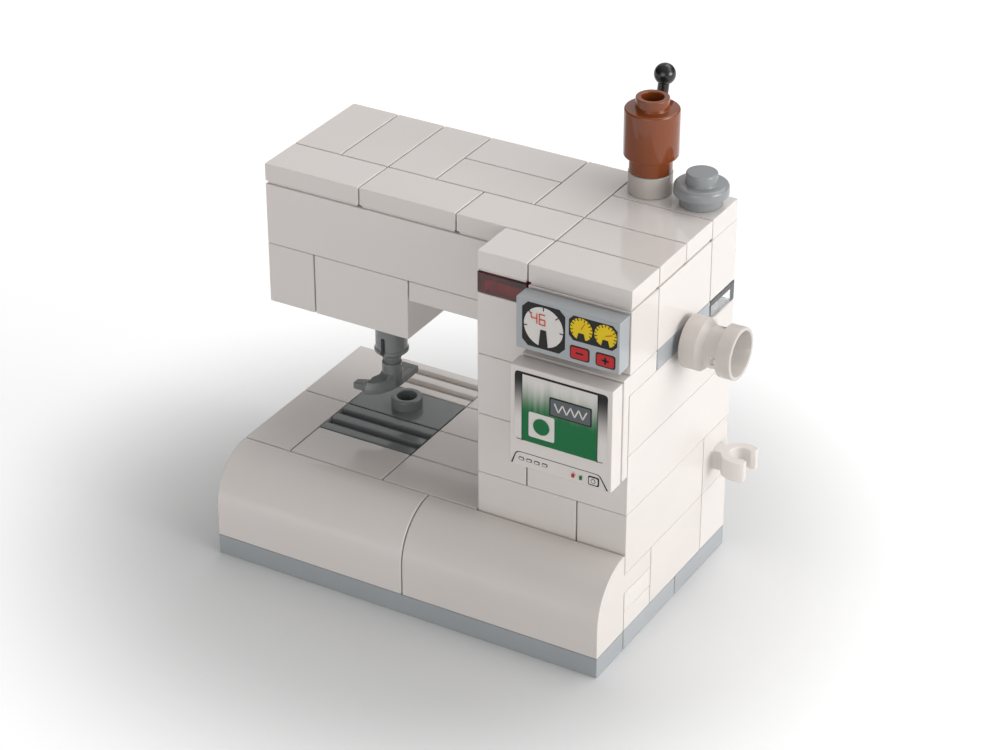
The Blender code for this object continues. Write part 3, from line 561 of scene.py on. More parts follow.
def curvedFront(node):
    low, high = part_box(node)
    length = (high.x - low.x) / mm
    front, back, skin, straight = gap, cell - gap, curve["skin"], curve["straight"]
    deep, rise = back - front, curve["height"] - straight
    turns = [pi / 2 * i / curve["steps"] for i in range(curve["steps"] + 1)]
    arch = [(back - deep * cos(t), straight + rise * sin(t)) for t in turns]
    inner = [(back - skin - (deep - 2 * skin) * cos(t), straight + (rise - skin) * sin(t)) for t in turns]
    outline = [(back + cell, curve["ledge"]), (back, curve["ledge"])] + arch[::-1]
    outline += [(front, lift), (back, lift), (back, curve["under"]), (back + cell, curve["under"])]
    toWorld = Matrix.Translation((low.x, low.y - front * mm, low.z - lift * mm)) @ sideways
    piece = objectFrom(extruded(outline, 0, length), f"{node}_look", toWorld)
    hollow = [(front + skin, -1), (back - skin, -1), (back - skin, straight)] + inner[::-1]
    cutter = objectFrom(extruded(hollow, skin, length - skin), "hollow", toWorld)
    shape(piece, cutter, operation="DIFFERENCE")
    easeEdges(piece, block["edge"], 3)
    foot = Vector(((low.x + high.x) / 2, low.y + (1.5 * cell - front) * mm,
                   low.z + (curve["ledge"] - lift) * mm))
    addStuds(piece, node, round(length / cell), 1, foot)
    return dress(bake(piece), node)


for node in ("curved_front_left", "curved_front_right"):
    curvedFront(node)

grille = {
    "slot": 1.4,
    "floor": 2.25,  # height of the slots' floor
    "edge": 0.22,
    "ease": 0.07,
    "sole": 0.7,  # top of the narrower block in the tile's foot
}


def grilleTile(node):
    low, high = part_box(node)
    length, depth = 2 * cell - 2 * gap, cell - 2 * gap
    bar = (depth - 2 * grille["slot"]) / 3
    groove, edge = block["grooveHeight"], grille["edge"]
    outline = [(0, groove), (depth, groove), (depth, thin, edge)]
    y = depth
    for _ in range(2):
        outline += [(y - bar, thin, edge), (y - bar, grille["floor"])]
        y -= bar + grille["slot"]
        outline += [(y, grille["floor"]), (y, thin, edge)]
    outline.append((0, thin, edge))
    start = Vector((low.x, low.y, high.z - thin * mm))
    toWorld = Matrix.Translation(start) @ sideways
    piece = objectFrom(extruded(soften(outline), 0, length), f"{node}_look", toWorld)
    easeEdges(piece, grille["ease"], 2, 50)
    step = block["grooveDepth"]
    sole = blockShell(length - 2 * step, depth - 2 * step, grille["sole"], hollow=False)
    place = Matrix.Translation(start + Vector((step, step, 0)) * mm)
    return dress(merge(piece, objectFrom(sole, "sole", place)), node)


for node in ("feed_grille_dark", "feed_grille_white"):
    grilleTile(node)

jumper = {"stud": 2.4, "hole": 1.5, "edge": 0.32, "sunk": 0.3, "holeFloor": 0.02}


def jumperPlate(node):
    low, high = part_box(node)
    shell = blockShell(2 * cell - 2 * gap, cell - 2 * gap, thin, tile=True)
    piece = evenNormals(objectFrom(shell, f"{node}_look", Matrix.Translation(low)))
    stud, hole, edge, bottom = jumper["stud"], jumper["hole"], jumper["edge"], jumper["holeFloor"]
    profile = soften([(stud, -jumper["sunk"]), (stud, studRise, edge), (hole, studRise, edge / 2),
                      (hole, bottom), (0, bottom)])
    top = Vector(((low.x + high.x) / 2, (low.y + high.y) / 2, high.z - studRise * mm))
    return dress(merge(piece, objectFrom(turned(profile), "stud", Matrix.Translation(top))), node)


jumperPlate("needle_plate_jumper")

bracketWall = 1.5  # thickness of the wall that hangs down in front of the tower


def screenBracket(node):
    low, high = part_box(node)
    back, front = (spot(6, row, 0).y - sideGap for row in (2, 1))
    face, top = front - bracketWall * mm, high.z - peg["studHeight"]
    under = top - thin * mm
    outline = [(face, low.z), (front, low.z), (front, under), (back, under), (back, top), (face, top)]
    outline = [(y / mm, z / mm) for y, z in outline]
    toWorld = Matrix.Translation((low.x, 0, 0)) @ sideways
    piece = objectFrom(extruded(outline, 0, 2 * cell - 2 * gap), f"{node}_look", toWorld)
    easeEdges(piece, block["edge"], 3)
    addStuds(piece, node, 2, 1, Vector(((low.x + high.x) / 2, spot(6, 1.5, 0).y, top)))
    return dress(bake(piece), node)


screenBracket("screen_bracket")


def gaugeBrick(node):
    # its sideways studs stand inside the gauge panel, so that only the block shows
    low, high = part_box(node)
    return dress(makeBlock(node, Vector((low.x, spot(6, 1, 0).y + sideGap, low.z)), high), node)


gaugeBrick("gauge_brick")

clip = {"outer": 2.95, "inner": 1.58, "mouth": 0.95, "tip": 1.7, "flare": 1.62, "stem": 1.2,
        "height": 3.2, "reach": 4.05, "middle": 4.7, "edge": 0.12, "fillet": 0.5, "filletMiddle": 0.15,
        "sunk": 0.3}


def clipBrick(node):
    low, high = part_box(node)
    far = Vector((spot(8, 0, 0).x - sideGap, high.y, high.z))
    piece = makeBlock(node, low, far)
    outer, inner, half, reach = clip["outer"], clip["inner"], clip["stem"], clip["reach"]
    mouth, tip = acos(clip["mouth"] / inner), acos(clip["tip"] / outer)
    stem = pi - asin(half / outer)
    fillet, bend = clip["fillet"], clip["filletMiddle"]
    root = [(-reach - clip["sunk"], -half - fillet), (-reach, -half - fillet),
            (-reach + bend, -half - bend), (-reach + fillet, -half)]
    outline = root + arc(outer, 2 * pi - stem, 2 * pi - tip, 24) + [(clip["tip"], -clip["flare"])]
    outline += arc(inner, 2 * pi - mouth, mouth, 40) + [(clip["tip"], clip["flare"])]
    outline += arc(outer, tip, stem, 24) + [(x, -y) for x, y in root[::-1]]
    place = Vector((far.x + reach * mm, (low.y + high.y) / 2, low.z + (clip["middle"] - lift) * mm))
    claw = extruded(outline, -clip["height"] / 2, clip["height"] / 2)
    claw = easeEdges(objectFrom(claw, "clip", Matrix.Translation(place)), clip["edge"], 3, 50)
    return dress(merge(piece, claw), node)


clipBrick("clip_brick")
print("curved, grille, bracket and clip pieces made")


# Handwheel and its pin

wheel = {
    "rim": 3.85,
    "neck": 3.05,
    "bore": 1.58,
    "cup": 3.3,  # the cone at the outer end
    "cupEnd": 2.75,
    "cupDepth": 3.2,
    "well": 2.2,
    "width": 7.9,
    "flange": 2.25,
    "chamferStart": 2.5,
    "chamferEnd": 3.4,
    "hub": 4.1,
    "edge": 0.22,
    "notches": 3,
    "notchStart": radians(41),
    "notchWidth": 1.3,
    "notchLength": 1.0,
    "notchDepth": 0.6,
    "notchGap": 0.16,  # to the outer flange
}
axle = {"radius": 1.5, "root": 1.1, "rootEnd": 0.1, "sunk": 0.6, "lip": 0.25, "lipEdge": 0.08,
        "lipEnds": (0.08, 0.2, 0.35, 0.5), "standoff": 0.95}
wheelStart = Vector((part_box("handwheel")[0].x, *jointAt["handwheel_spin"].yz))


def handwheel(node):
    rim, neck, width, edge, well = (wheel[key] for key in ("rim", "neck", "width", "edge", "well"))
    flange, floor, bore, hub = width - wheel["flange"], width - wheel["cupDepth"], wheel["bore"], wheel["hub"]
    profile = soften([
        (bore, 0, fine), (rim, 0, edge), (rim, wheel["chamferStart"], fine / 2),
        (neck, wheel["chamferEnd"], fine), (neck, flange, fine), (rim, flange, fine), (rim, width, edge),
        (wheel["cup"], width, fine * 1.5), (wheel["cupEnd"], floor, fine * 2), (well, floor, fine),
        (well, hub, fine), (bore, hub, fine)])
    piece = objectFrom(turned(profile, 128, closed=True), f"{node}_look")
    cuts = []
    bottom, side, top = neck - wheel["notchDepth"], wheel["notchWidth"] / 2, flange - wheel["notchGap"]
    outline = [(bottom, -side), (rim + 1, -side), (rim + 1, side), (bottom, side)]
    for i in range(wheel["notches"]):
        turn = Matrix.Rotation(wheel["notchStart"] + 2 * pi * i / wheel["notches"], 4, "Z")
        cuts.append(objectFrom(extruded(outline, top - wheel["notchLength"], top), "notch", turn))
    shape(piece, *cuts, operation="DIFFERENCE")
    piece.data.set_sharp_from_angle(angle=radians(28))
    evenNormals(piece)
    piece.data.transform(Matrix.Translation(wheelStart) @ alongX)
    return dress(piece, node)


handwheel("handwheel")


def handwheelPlate(node):
    low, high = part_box(node)
    near = Vector((low.x, low.y, spot(0, 0, 13).z + lift * mm))
    far = Vector((spot(8, 0, 0).x - sideGap, high.y, spot(0, 0, 14).z + peg["studHeight"]))
    piece = makeBlock(node, near, far)
    r, root, lip = axle["radius"], axle["root"], axle["radius"] + axle["lip"]
    foot, start, edge = -axle["sunk"], axle["rootEnd"], axle["lipEdge"]
    a, b, c, end = (axle["standoff"] + wheel["hub"] + rise for rise in axle["lipEnds"])
    profile = soften([(0, foot), (root, foot), (root, start), (r, start), (r, a), (lip, b, edge),
                      (lip, c, fine), (r, end, fine), (0, end)])
    place = Matrix.Translation((far.x, *wheelStart.yz)) @ alongX
    return dress(merge(piece, objectFrom(turned(profile, 64), "axle", place)), node)


handwheelPlate("handwheel_plate")

# Spool, its base, knob and lever

studHole = 2.48  # radius of the round pieces' hole for the stud under them
topAt = spot(0, 0, 18).z
spoolFoot = Vector((*jointAt["spool_spin"].xy, topAt))

spool = {"neck": 3.1, "neckHeight": 2.4, "barrel": 3.95, "edge": 0.35, "topEdge": 0.3, "stud": 2.4,
         "studFoot": 0.08, "hole": 1.6, "holeFloor": 8.4, "lip": 0.15}


def threadSpool(node):
    neck, step, barrel, stud = spool["neck"], spool["neckHeight"], spool["barrel"], spool["stud"]
    hole, bottom, lip, top = spool["hole"], spool["holeFloor"], spool["lip"], brick + studRise
    profile = soften([
        (studHole, lift, fine), (neck, lift, fine), (neck, step, fine), (barrel, step, spool["edge"]),
        (barrel, brick, spool["topEdge"]), (stud, brick, spool["studFoot"]), (stud, top, lip),
        (hole, top, lip), (hole, bottom), (studHole, bottom)])
    place = Matrix.Translation(spoolFoot + Vector((0, 0, plate * mm)))
    return dress(objectFrom(turned(profile, 128, closed=True), f"{node}_look", place), node)


threadSpool("thread_spool")

knob = {"neck": 3.1, "neckHeight": 1.6, "barrel": 3.95, "edge": 0.15, "rim": 0.65, "stud": 2.27,
        "studEdge": 0.28}


def knobPlate(node):
    neck, step, barrel, edge = knob["neck"], knob["neckHeight"], knob["barrel"], knob["edge"]
    room, stud, top = block["studRoom"], knob["stud"], plate + studRise
    profile = soften([
        (0, room), (studHole, room), (studHole, lift), (neck, lift, fine), (neck, step, fine),
        (barrel, step, edge), (barrel, plate, knob["rim"]), (stud, plate, edge),
        (stud, top, knob["studEdge"]), (0, top)])
    place = Matrix.Translation((*jointAt["knob_spin"].xy, topAt))
    return dress(objectFrom(turned(profile, 128), f"{node}_look", place), node)


knobPlate("knob")

hinge = {
    "eye": 1.0,  # radius of the lever's eye and of the ears round it
    "eyeWidth": 1.6,
    "eyeEdge": 0.12,
    "earGap": 0.15,
    "ear": 0.8,
    "earEdge": 0.08,
    "earRoot": 1.9,  # from the spool's axis
    "pin": 0.5,
    "stick": 0.82,
    "stickStart": 0.2,
    "ball": 1.58,
    "length": 13.05,
    "tilt": radians(12.7),
}
spoolSeat = {"radius": 3.2, "edge": 0.15, "stud": 2.4}


def spoolBase(node):
    radius, stud, room, top = spoolSeat["radius"], spoolSeat["stud"], block["studRoom"], plate + studRise
    profile = soften([(0, room), (studHole, room), (studHole, lift), (radius, lift, fine),
                      (radius, plate, spoolSeat["edge"]), (stud, plate), (stud, top, fine), (0, top)])
    piece = objectFrom(turned(profile), f"{node}_look", Matrix.Translation(spoolFoot))
    pivot, eye = jointAt["lever_tilt"], hinge["eye"]
    root = hinge["earRoot"] - (pivot.y - spoolFoot.y) / mm
    outline = [(root, -eye)] + arc(eye, -pi / 2, pi / 2, 16) + [(root, eye)]
    toWorld = Matrix.Translation(pivot) @ sideways
    for side in (-1, 1):
        near = side * (hinge["eyeWidth"] / 2 + hinge["earGap"])
        far = near + side * hinge["ear"]
        ear = objectFrom(extruded(outline, min(near, far), max(near, far)), "ear", toWorld)
        merge(piece, easeEdges(ear, hinge["earEdge"], 2, 50))
    return dress(piece, node)


spoolBase("spool_base")


def lever(node):
    at = Matrix.Translation(jointAt["lever_tilt"])
    half, pinRadius, eye = hinge["eyeWidth"] / 2, hinge["pin"], hinge["eye"]
    end = half + hinge["earGap"] + hinge["ear"]
    profile = soften([(0, -end), (pinRadius, -end, hinge["earEdge"]), (pinRadius, -half),
                      (eye, -half, hinge["eyeEdge"]), (eye, half, hinge["eyeEdge"]), (pinRadius, half),
                      (pinRadius, end, hinge["earEdge"]), (0, end)])
    piece = objectFrom(turned(profile, 48), f"{node}_look", at @ alongX)
    stick, ball, length, start = hinge["stick"], hinge["ball"], hinge["length"], hinge["stickStart"]
    meet = asin(stick / ball)  # where the ball leaves the stick
    last = pi - meet - 0.05
    turns = [last - last * i / 24 for i in range(24)]
    stem = [(0, start), (stick, start), (stick, length - ball * cos(meet))]
    stem += [(ball * sin(t), length + ball * cos(t)) for t in turns] + [(0, length + ball)]
    tilt = at @ Matrix.Rotation(-hinge["tilt"], 4, "X")
    return dress(merge(piece, objectFrom(turned(stem, 64), "stick", tilt)), node)


lever("lever")
print("turning pieces made")

# Half pin and presser foot

pin = {
    "shank": 2.4,
    "lip": 2.6,
    "lipTaper": 0.1,
    "lipHeights": (0.65, 0.75, 1.1, 1.35),  # above the pin's lower end
    "end": 1.78,
    "bore": 1.65,
    "collar": 2.9,
    "collarHeights": (-0.83, -0.08),
    "length": 8.2,
    "plug": 2.0,
    "plugTop": 1.65,
    "slotWidth": 0.75,
    "slotHeight": 3.5,
}
pinTop = Vector((*jointAt["pin_swivel"].xy, spot(0, 0, 11).z))


def needlePin(node):
    low, lip, collar, shank, plug = -pin["length"], pin["lip"], pin["collar"], pin["shank"], pin["plug"]
    a, b, c, d = (low + rise for rise in pin["lipHeights"])
    under, over = pin["collarHeights"]
    profile = soften([
        (pin["bore"], low, fine), (pin["end"], low, fine * 2), (lip - pin["lipTaper"], a, fine / 2),
        (lip, b, fine / 2), (lip, c, fine * 2), (shank, d, fine * 1.5), (shank, under, fine),
        (collar, under, fine), (collar, over, fine), (plug, over), (plug, pin["plugTop"], fine),
        (pin["bore"], pin["plugTop"], fine)])
    piece = objectFrom(turned(profile, closed=True), f"{node}_look")
    half = pin["slotWidth"] / 2
    top = low + pin["slotHeight"] - half
    outline = [(-half, low - 0.2), (half, low - 0.2)] + [(x, top + y) for x, y in arc(half, 0, pi, 12)]
    shape(piece, objectFrom(extruded(outline, -5, 5), "slot", toFront), operation="DIFFERENCE")
    piece.data.set_sharp_from_angle(angle=radians(35))
    piece.data.transform(Matrix.Translation(pinTop))
    return dress(piece, node)


needlePin("needle_pin")

foot = {
    "bar": 1.5,
    "sole": 1.05,
    "side": 1.4,  # from the axis to the straight side
    "back": 5.2,
    "front": 4.65,
    "bendX": -2.2,  # middle of the ellipse that the side and the front follow
    "bendY": 1.0,
    "toe": 4.4,
    "toeWidth": 1.3,
    "toeIn": 0.65,
    "treads": ((2.6, 4.3, 0.45), (1.9, 3.1, 0.5)),  # left end, back end, rise
    "treadStart": 0.3,  # inside the sole
    "inset": 0.05,
    "edge": 0.13,
    "treadEdge": 0.25,
    "flare": 1.6,  # of the neck, over the body
    "flareBend": 0.9,
    "neckTop": 4.05,
    "groove": 1.2,
    "grooveHeight": 0.15,
    "shoulder": 4.95,
    "shoulderBend": 0.6,
}
footLow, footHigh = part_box("presser_foot")


def footLayer(left, back, inset=0.0):
    # the foot from above: a straight right side that turns into a rounded toe on the left
    side, front = foot["side"] - inset, inset - foot["front"]
    bend = min(left, -foot["bendX"] - inset)
    wide, deep = side - foot["bendX"], foot["bendY"] - front
    last = acos((-bend - foot["bendX"]) / wide)
    turns = [-last * i / 20 for i in range(21)]
    rim = [(foot["bendX"] + wide * cos(t), foot["bendY"] + deep * sin(t)) for t in turns]
    toeFront = front + foot["toeIn"]
    toeBack = toeFront + foot["toeWidth"] - 2 * inset
    if left > bend:
        rim += [(-bend, toeFront), (-left, toeFront)]
    return [(side, back)] + rim + [(-left, toeBack), (-side, toeBack + side), (-side, back)]


def presserFoot(node):
    sole = Matrix.Translation((pinTop.x, pinTop.y, footLow.z))
    layers = [(footLayer(foot["toe"], foot["back"]), 0, foot["sole"])]
    level = foot["sole"]
    for i, (left, back, rise) in enumerate(foot["treads"]):
        level += rise
        layers.append((footLayer(left, back, (i + 1) * foot["inset"]), foot["treadStart"], level))
    parts = []
    for outline, low, high in layers:
        part = objectFrom(extruded(outline, low, high), "layer", sole)
        parts.append(easeEdges(part, foot["treadEdge"] if low else foot["edge"], 4, 50))
    # the neck flares out over the treads, and only within the sole's outline
    bar, flare = foot["bar"], foot["bar"] + foot["flare"]
    skirt = soften([(0, 0.5), (flare, 0.5), (flare, level - 0.5), (bar, level + 0.5, foot["flareBend"]),
                    (bar, level + 0.8), (0, level + 0.8)], 8)
    root = objectFrom(turned(skirt), "root", sole)
    within = footLayer(foot["toe"], foot["back"], foot["inset"] * 3)
    shape(root, objectFrom(extruded(within, 0.2, level + 2), "within", sole), operation="INTERSECT")
    top = (footHigh.z - footLow.z) / mm
    neck, groove, slim = foot["neckTop"], foot["groove"], bar - 0.02
    profile = soften([(0, 0.6), (bar, 0.6), (bar, neck, fine), (groove, neck),
                      (groove, neck + foot["grooveHeight"]), (slim, foot["shoulder"], foot["shoulderBend"]),
                      (slim, top, fine), (0, top)], 6)
    piece = objectFrom(turned(profile), f"{node}_look", sole)
    shape(piece, root, *parts)
    piece.data.set_sharp_from_angle(angle=radians(30))
    return dress(evenNormals(piece), node)


presserFoot("presser_foot")
print("pin and foot made")


# Pad prints on the gauge panel and the screen, as ink layers on the tiles' faces

inkThickness = 0.02
inkColours = {"black": "#1B1B1C", "white": "#E0DBD7", "yellow": "#E8C81C", "red": "#C1282A",
              "green": "#066C3A", "grey": "#5F6366", "orange": "#D8502A"}
inks = {name: padPrint(f"{name} ink", colour) for name, colour in inkColours.items()}


def disc(x, y, radius):
    return [(x + a, y + b) for a, b in arc(radius, 0, 2 * pi, 48)[:-1]]


def roundedBox(x0, y0, x1, y1, radius=0.3):
    return soften([(x0, y0, radius), (x1, y0, radius), (x1, y1, radius), (x0, y1, radius)], 5)


def cutBox(x0, y0, x1, y1, cut):
    return [(x0 + cut, y0), (x1 - cut, y0), (x1, y0 + cut), (x1, y1 - cut),
            (x1 - cut, y1), (x0 + cut, y1), (x0, y1 - cut), (x0, y0 + cut)]


def stroke(x0, y0, x1, y1, width):
    along = Vector((x1 - x0, y1 - y0)).normalized() * width / 2
    return [(x0 + along.y, y0 - along.x), (x1 + along.y, y1 - along.x),
            (x1 - along.y, y1 + along.x), (x0 - along.y, y0 + along.x)]


def tick(x, y, inner, outer, degrees, width):
    across, up = cos(radians(degrees)), sin(radians(degrees))
    return stroke(x + inner * across, y + inner * up, x + outer * across, y + outer * up, width)


def wedge(x, y, narrow, high, wide, low):
    # widens downwards, from high to low under the dial's middle
    return [(x - narrow, y - high), (x - wide, y - low), (x + wide, y - low), (x + narrow, y - high)]


def printOn(node, name, layers):
    # layers: (material, [outlines]) from the lowest ink to the topmost, on a forward face
    toWorld = Matrix.Translation(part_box(node)[0]) @ toFront
    mesh = bmesh.new()
    slots = []
    for level, (material, outlines) in enumerate(layers):
        if material not in slots:
            slots.append(material)
        for outline in outlines:
            film = extruded(outline, level * inkThickness, (level + 1) * inkThickness)
            film = objectFrom(film, "film", toWorld)
            first = len(mesh.faces)
            mesh.from_mesh(film.data)
            mesh.faces.ensure_lookup_table()
            for face in mesh.faces[first:]:
                face.material_index = slots.index(material)
            bpy.data.objects.remove(film)
    data = bpy.data.meshes.new(name)
    mesh.to_mesh(data)
    mesh.free()
    for material in slots:
        data.materials.append(material)
    piece = bpy.data.objects.new(name, data)
    bpy.context.scene.collection.objects.link(piece)
    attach(piece, bodyOf[node])
    return piece


dials = {
    "backs": ((0.95, 0.75, 7.55, 7.45, 0.9), (8.1, 3.45, 15.4, 7.2, 0.7)),  # boxes and cut corners
    "big": (4.25, 4.1, 3.0),  # middle and radius
    "bigTicks": (-5, 42, 90, 138, 185),
    "small": ((10.0, 5.4, 62), (13.65, 5.4, 20)),  # middles and needles' turns
    "smallRadius": 1.68,
    "smallTicks": (-30, 20, 13),  # first, step and count
    "keys": ((8.3, 0.6, 11.3, 2.7), (12.2, 0.6, 15.2, 2.7)),
    "keyRim": 0.2,
    "sign": 0.55,  # half length of the minus and plus
    "signWidth": 0.28,
    "number": "46",
    "numberAt": (-1.85, 0.35, 1.25),  # from the big dial's middle, and the step to the next figure
    "figure": (0.85, 1.55, 0.16),  # width, height and stroke
    "segments": {"4": "bcfg", "6": "acdefg"},  # of a seven-part figure
    "bars": {"a": (0, 1, 1, 1), "b": (1, 0.5, 1, 1), "c": (1, 0, 1, 0.5), "d": (0, 0, 1, 0),
             "e": (0, 0, 0, 0.5), "f": (0, 0.5, 0, 1), "g": (0, 0.5, 1, 0.5)},
}


def figure(character, x, y):
    wide, high, width = dials["figure"]
    return [stroke(x + a * wide, y + b * high, x + c * wide, y + d * high, width)
            for a, b, c, d in (dials["bars"][bar] for bar in dials["segments"][character])]


def gaugePrint():
    x, y, radius = dials["big"]
    black = [cutBox(*box) for box in dials["backs"]]
    marks = [tick(x, y, radius - 0.5, radius + 0.02, degrees, 0.15) for degrees in dials["bigTicks"]]
    marks.append(wedge(x, y, 0.43, 0.4, 0.73, 3.05))
    start, up, step = dials["numberAt"]
    numbers = []
    for i, character in enumerate(dials["number"]):
        numbers += figure(character, x + start + step * i, y + up)
    needles, small, red = [], [], []
    radius = dials["smallRadius"]
    first, step, count = dials["smallTicks"]
    for x, y, lean in dials["small"]:
        small.append(disc(x, y, radius))
        marks += [tick(x, y, radius - (0.42 if i % 2 else 0.3), radius + 0.02, first + step * i, 0.12)
                  for i in range(count)]
        marks.append(wedge(x, y, 0.4, 0.6, 0.7, 1.75))
        needles.append(tick(x, y, 0, 1.15, lean, 0.11))
    rim, half, width = dials["keyRim"], dials["sign"], dials["signWidth"]
    for x0, y0, x1, y1 in dials["keys"]:
        black.append(roundedBox(x0, y0, x1, y1, 0.45))
        red.append(roundedBox(x0 + rim, y0 + rim, x1 - rim, y1 - rim, 0.35))
        x, y = (x0 + x1) / 2, (y0 + y1) / 2
        marks.append(stroke(x - half, y, x + half, y, width))
    marks.append(stroke(x, y - half, x, y + half, width))  # makes the second sign a plus
    layers = [(inks["black"], black), (inks["white"], [disc(*dials["big"])]), (inks["yellow"], small),
              (inks["red"], red), (inks["black"], marks), (inks["orange"], needles + numbers)]
    return printOn("gauge_panel", "gauge_print", layers)


gaugePrint()

screen = {
    "glass": (1.98, 4.35, 13.5, 14.72),  # left, bottom, right and top
    "frame": (0.78, 13.4, 15.03, 15.03, 0.6),  # the frame's top, and its rounding
    "line": 0.13,
    "bars": (4.7, 14.4),  # heights of the shaded bars beside the glass
    "fade": (8.7, 14.7),  # heights of the green picture's fade
    "streak": 2.6,
    "barFade": (7.0, 14.2),
    "bezel": (((0.2, 0.25), (1.0, 2.35, 0.9), (14.0, 2.35, 0.9), (15.35, 0.15)),  # its two sides
              ((0.44, 0.25), (1.12, 2.26, 0.9), (13.88, 2.26, 0.9), (15.1, 0.15))),
    "buttons": (1.85, 1.28, 1.22, 4),  # first one's middle, their spacing and count
    "buttonHalf": (0.43, 0.28),
    "buttonRim": 0.13,
    "switch": ((12.25, 0.35, 13.95, 1.8, 0.3), (12.43, 0.58, 13.77, 1.64, 0.24)),
    "switchRing": (13.1, 1.12, 0.36, 0.26),
    "panel": ((6.2, 9.5, 12.7, 12.4, 0.25), (6.4, 9.7, 12.5, 12.2, 0.2)),
    "stitch": (7.0, 0.62, 8, 10.3, 11.6, 0.2),  # start, step, count, low, high and width
    "card": (3.0, 5.3, 7.0, 9.2, 0.3),
    "cardDisc": (5.0, 7.25, 1.25),
    "greenLight": (10.95, 0.78, 11.38, 1.42, 0.08),
    "redLight": (9.76, 0.8, 10.19, 1.44, 0.08),
}


def screenPrint():
    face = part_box("screen_tile")[0].z
    low, high = (face + v * mm for v in screen["fade"])
    glow = fadePrint("green screen ink", low, high, inkColours["green"], inkColours["white"],
                     screen["streak"] * mm)
    low, high = (face + v * mm for v in screen["barFade"])
    shade = fadePrint("black to white bar ink", low, high, inkColours["white"], inkColours["black"])
    left, bottom, right, top = screen["glass"]
    start, _, end, _, _ = screen["frame"]
    line = screen["line"]
    border = [roundedBox(*screen["frame"])]
    border += [[(x, bottom - 0.15), (x + line, bottom - 0.15), (x + line, top), (x, top)]
               for x in (left - line, right)]
    border.append(stroke(left - 0.9, bottom, right + 0.9, bottom, 0.1))
    low, high = screen["bars"]
    bars = [[(a, low), (b, low), (b, high), (a, high)]
            for a, b in ((start, left - line), (right + line, end))]
    outer, inner = (soften(side) for side in screen["bezel"])
    x, y, step, count = screen["buttons"]
    wide, tall = screen["buttonHalf"]
    keys = [(x + step * i - wide, y - tall, x + step * i + wide, y + tall) for i in range(count)]
    rim = screen["buttonRim"]
    caps = [roundedBox(a + rim, b + rim, c - rim, d - rim, 0.12) for a, b, c, d in keys]
    start, step, count, low, high, width = screen["stitch"]
    ends = [(start + step * i, low if i % 2 else high) for i in range(count + 1)]
    stitch = [stroke(*ends[i], *ends[i + 1], width) for i in range(count)]
    switchBack, switchFace = (roundedBox(*box) for box in screen["switch"])
    panelBack, panelFace = (roundedBox(*box) for box in screen["panel"])
    x, y, outside, inside = screen["switchRing"]
    layers = [
        (inks["black"], border + [outer + inner[::-1], switchBack]),
        (inks["grey"], [roundedBox(*key, 0.22) for key in keys]),
        (shade, bars),
        (glow, [[(left, bottom), (right, bottom), (right, top), (left, top)]]),
        (inks["white"], caps),
        (inks["white"], [switchFace, roundedBox(*screen["card"])]),
        (inks["black"], [panelBack]),
        (inks["grey"], [panelFace, disc(x, y, outside)]),
        (inks["white"], stitch + [disc(x, y, inside)]),
        (inks["green"], [disc(*screen["cardDisc"]), roundedBox(*screen["greenLight"])]),
        (inks["red"], [roundedBox(*screen["redLight"])]),
    ]
    return printOn("screen_tile", "screen_print", layers)


screenPrint()
print("prints made")


# Floor, light and camera

studio = {
    "floor": "#E7E7E7",
    "floorSize": 6,
    "floorRoughness": 0.9,
    "floorShine": 0.1,
    "glow": (0.038, 0.08, 0.38),  # start, end and strength of a painted light on the floor that grows away from the machine, leaving painted shade round it beside its cast shadow
    # middle of the painted light's round, moved to the left of the machine so that the painted shade leans
    # like the cast shadow
    "glowMiddle": (-0.008, -0.002, 0.0),
    "even": 0.06,  # the white tent's light from everywhere
    "panels": (  # brighter sides of the tent: right, low right, above, front and back
        {"toward": (1.0, 0.0, 0.3), "spread": 4.0, "strength": 0.8},
        {"toward": (1.0, 0.0, 0.1), "spread": 24.0, "strength": 9.6},
        {"toward": (0.0, 0.0, 1.0), "spread": 4.0, "strength": 0.5},
        {"toward": (0.1, -1.0, 0.1), "spread": 12.0, "strength": 2.8},
        {"toward": (-0.43, 0.75, 0.5), "spread": 6.0, "strength": 0.7},
    ),
    "lamps": (
        {"at": (0.1, 0.45, 0.65), "size": 0.5, "power": 1.45},
        {"at": (0.42, 0.2, 0.55), "size": 0.4, "power": 0.65},
    ),
    "lampAim": (0, 0, 0.03),
}


def paleFloor():
    bpy.ops.mesh.primitive_plane_add(size=studio["floorSize"], location=(0, 0, 0))
    floor = bpy.context.object
    floor.name = "floor"
    material, tree, shader = newMaterial("pale studio floor")
    shader.inputs["Base Color"].default_value = linear(studio["floor"])
    shader.inputs["Roughness"].default_value = studio["floorRoughness"]
    shader.inputs["Specular IOR Level"].default_value = studio["floorShine"]
    # painted light: the floor is made brighter further from the machine, so that it stays darker round the
    # machine as painted shade
    where = addNode(tree, "ShaderNodeTexCoord").outputs["Object"]
    away = addNode(tree, "ShaderNodeVectorMath", {1: studio["glowMiddle"]}, {0: where},
                   operation="DISTANCE")
    start, end, strength = studio["glow"]
    glow = addNode(tree, "ShaderNodeMapRange", {1: start, 2: end, 3: 0.0, 4: strength},
                   {0: away.outputs["Value"]}, interpolation_type="SMOOTHSTEP")
    rays = addNode(tree, "ShaderNodeLightPath").outputs  # the painted glow is only seen, directly and in reflections, and lights nothing
    seen = rays["Is Camera Ray"]
    for kind in ("Is Glossy Ray", "Is Transmission Ray"):
        seen = addNode(tree, "ShaderNodeMath", (), {0: seen, 1: rays[kind]}, operation="ADD").outputs[0]
    shown = addNode(tree, "ShaderNodeMath", (), {0: glow.outputs[0], 1: seen}, operation="MULTIPLY")
    shader.inputs["Emission Color"].default_value = (1, 1, 1, 1)
    tree.links.new(shown.outputs[0], shader.inputs["Emission Strength"])
    floor.data.materials.append(material)


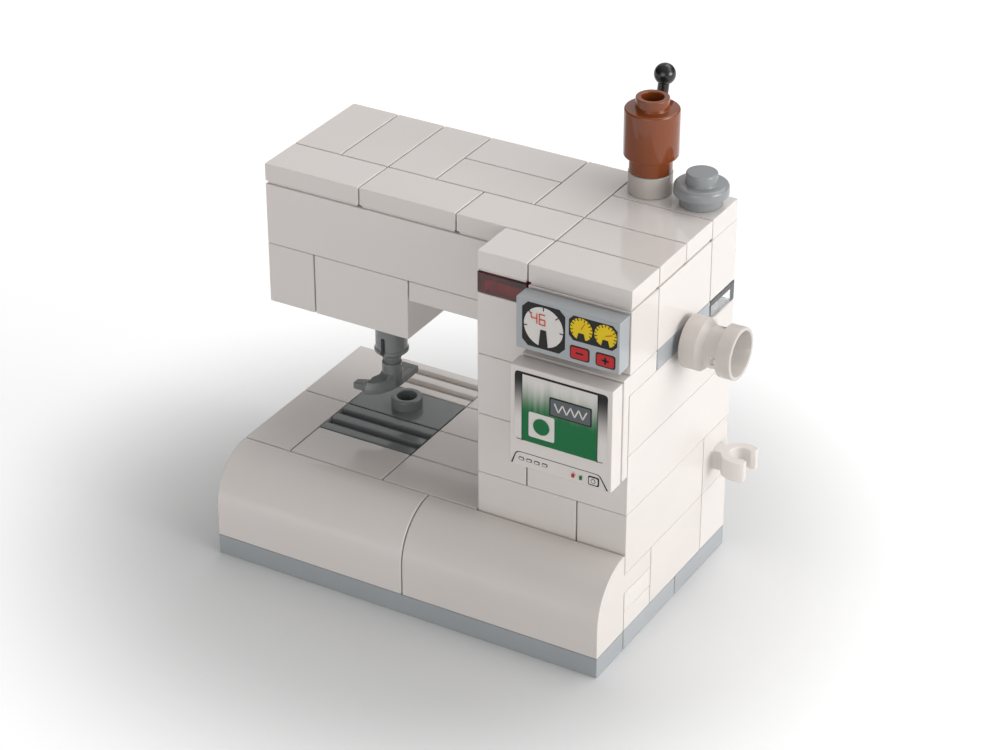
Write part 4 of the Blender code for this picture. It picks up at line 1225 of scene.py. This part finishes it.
def softLight():
    for info in studio["lamps"]:
        lamp = bpy.data.lights.new("softbox", "AREA")
        lamp.shape = "SQUARE"
        lamp.size = info["size"]
        lamp.energy = info["power"]
        softbox = bpy.data.objects.new("softbox", lamp)
        bpy.context.scene.collection.objects.link(softbox)
        softbox.location = info["at"]
        aim = Vector(studio["lampAim"]) - Vector(info["at"])
        softbox.rotation_euler = aim.to_track_quat("-Z", "Y").to_euler()
    world = bpy.data.worlds.new("studio")
    world.use_nodes = True
    tree = world.node_tree
    background = tree.nodes["Background"]
    background.inputs["Color"].default_value = (1, 1, 1, 1)
    outward = addNode(tree, "ShaderNodeTexCoord").outputs["Generated"]
    before = {}  # each panel adds to the one before it, and the first to the even light
    for panel in studio["panels"]:
        facing = addNode(tree, "ShaderNodeVectorMath", {1: Vector(panel["toward"]).normalized()},
                         {0: outward}, operation="DOT_PRODUCT")
        front = addNode(tree, "ShaderNodeMath", {1: 0.0}, {0: facing.outputs["Value"]},
                        operation="MAXIMUM")
        lobe = addNode(tree, "ShaderNodeMath", {1: panel["spread"]}, {0: front.outputs[0]},
                       operation="POWER")
        total = addNode(tree, "ShaderNodeMath", {1: panel["strength"], 2: studio["even"]},
                        {0: lobe.outputs[0], **before}, operation="MULTIPLY_ADD")
        before = {2: total.outputs[0]}
    tree.links.new(total.outputs[0], background.inputs["Strength"])
    bpy.context.scene.world = world


view = {"aim": (-0.75, -0.33, 29.84), "azimuth": 30.0, "elevation": 30.0, "distance": 414.3,
        "lens": 103.3, "sensor": 36, "nearest": 0.01}


def camera():
    data = bpy.data.cameras.new("camera")
    data.sensor_width = view["sensor"]
    data.lens = view["lens"]
    data.clip_start = view["nearest"]
    eye = bpy.data.objects.new("camera", data)
    bpy.context.scene.collection.objects.link(eye)
    yaw, rise = radians(view["azimuth"]), radians(view["elevation"])
    ahead = Vector((-sin(yaw) * cos(rise), cos(yaw) * cos(rise), -sin(rise)))
    eye.location = Vector(view["aim"]) * mm - ahead * view["distance"] * mm
    eye.rotation_euler = (radians(90) - rise, 0, yaw)
    bpy.context.scene.camera = eye


paleFloor()
softLight()
camera()
bpy.context.scene.view_settings.view_transform = "Standard"
print("scene ready")
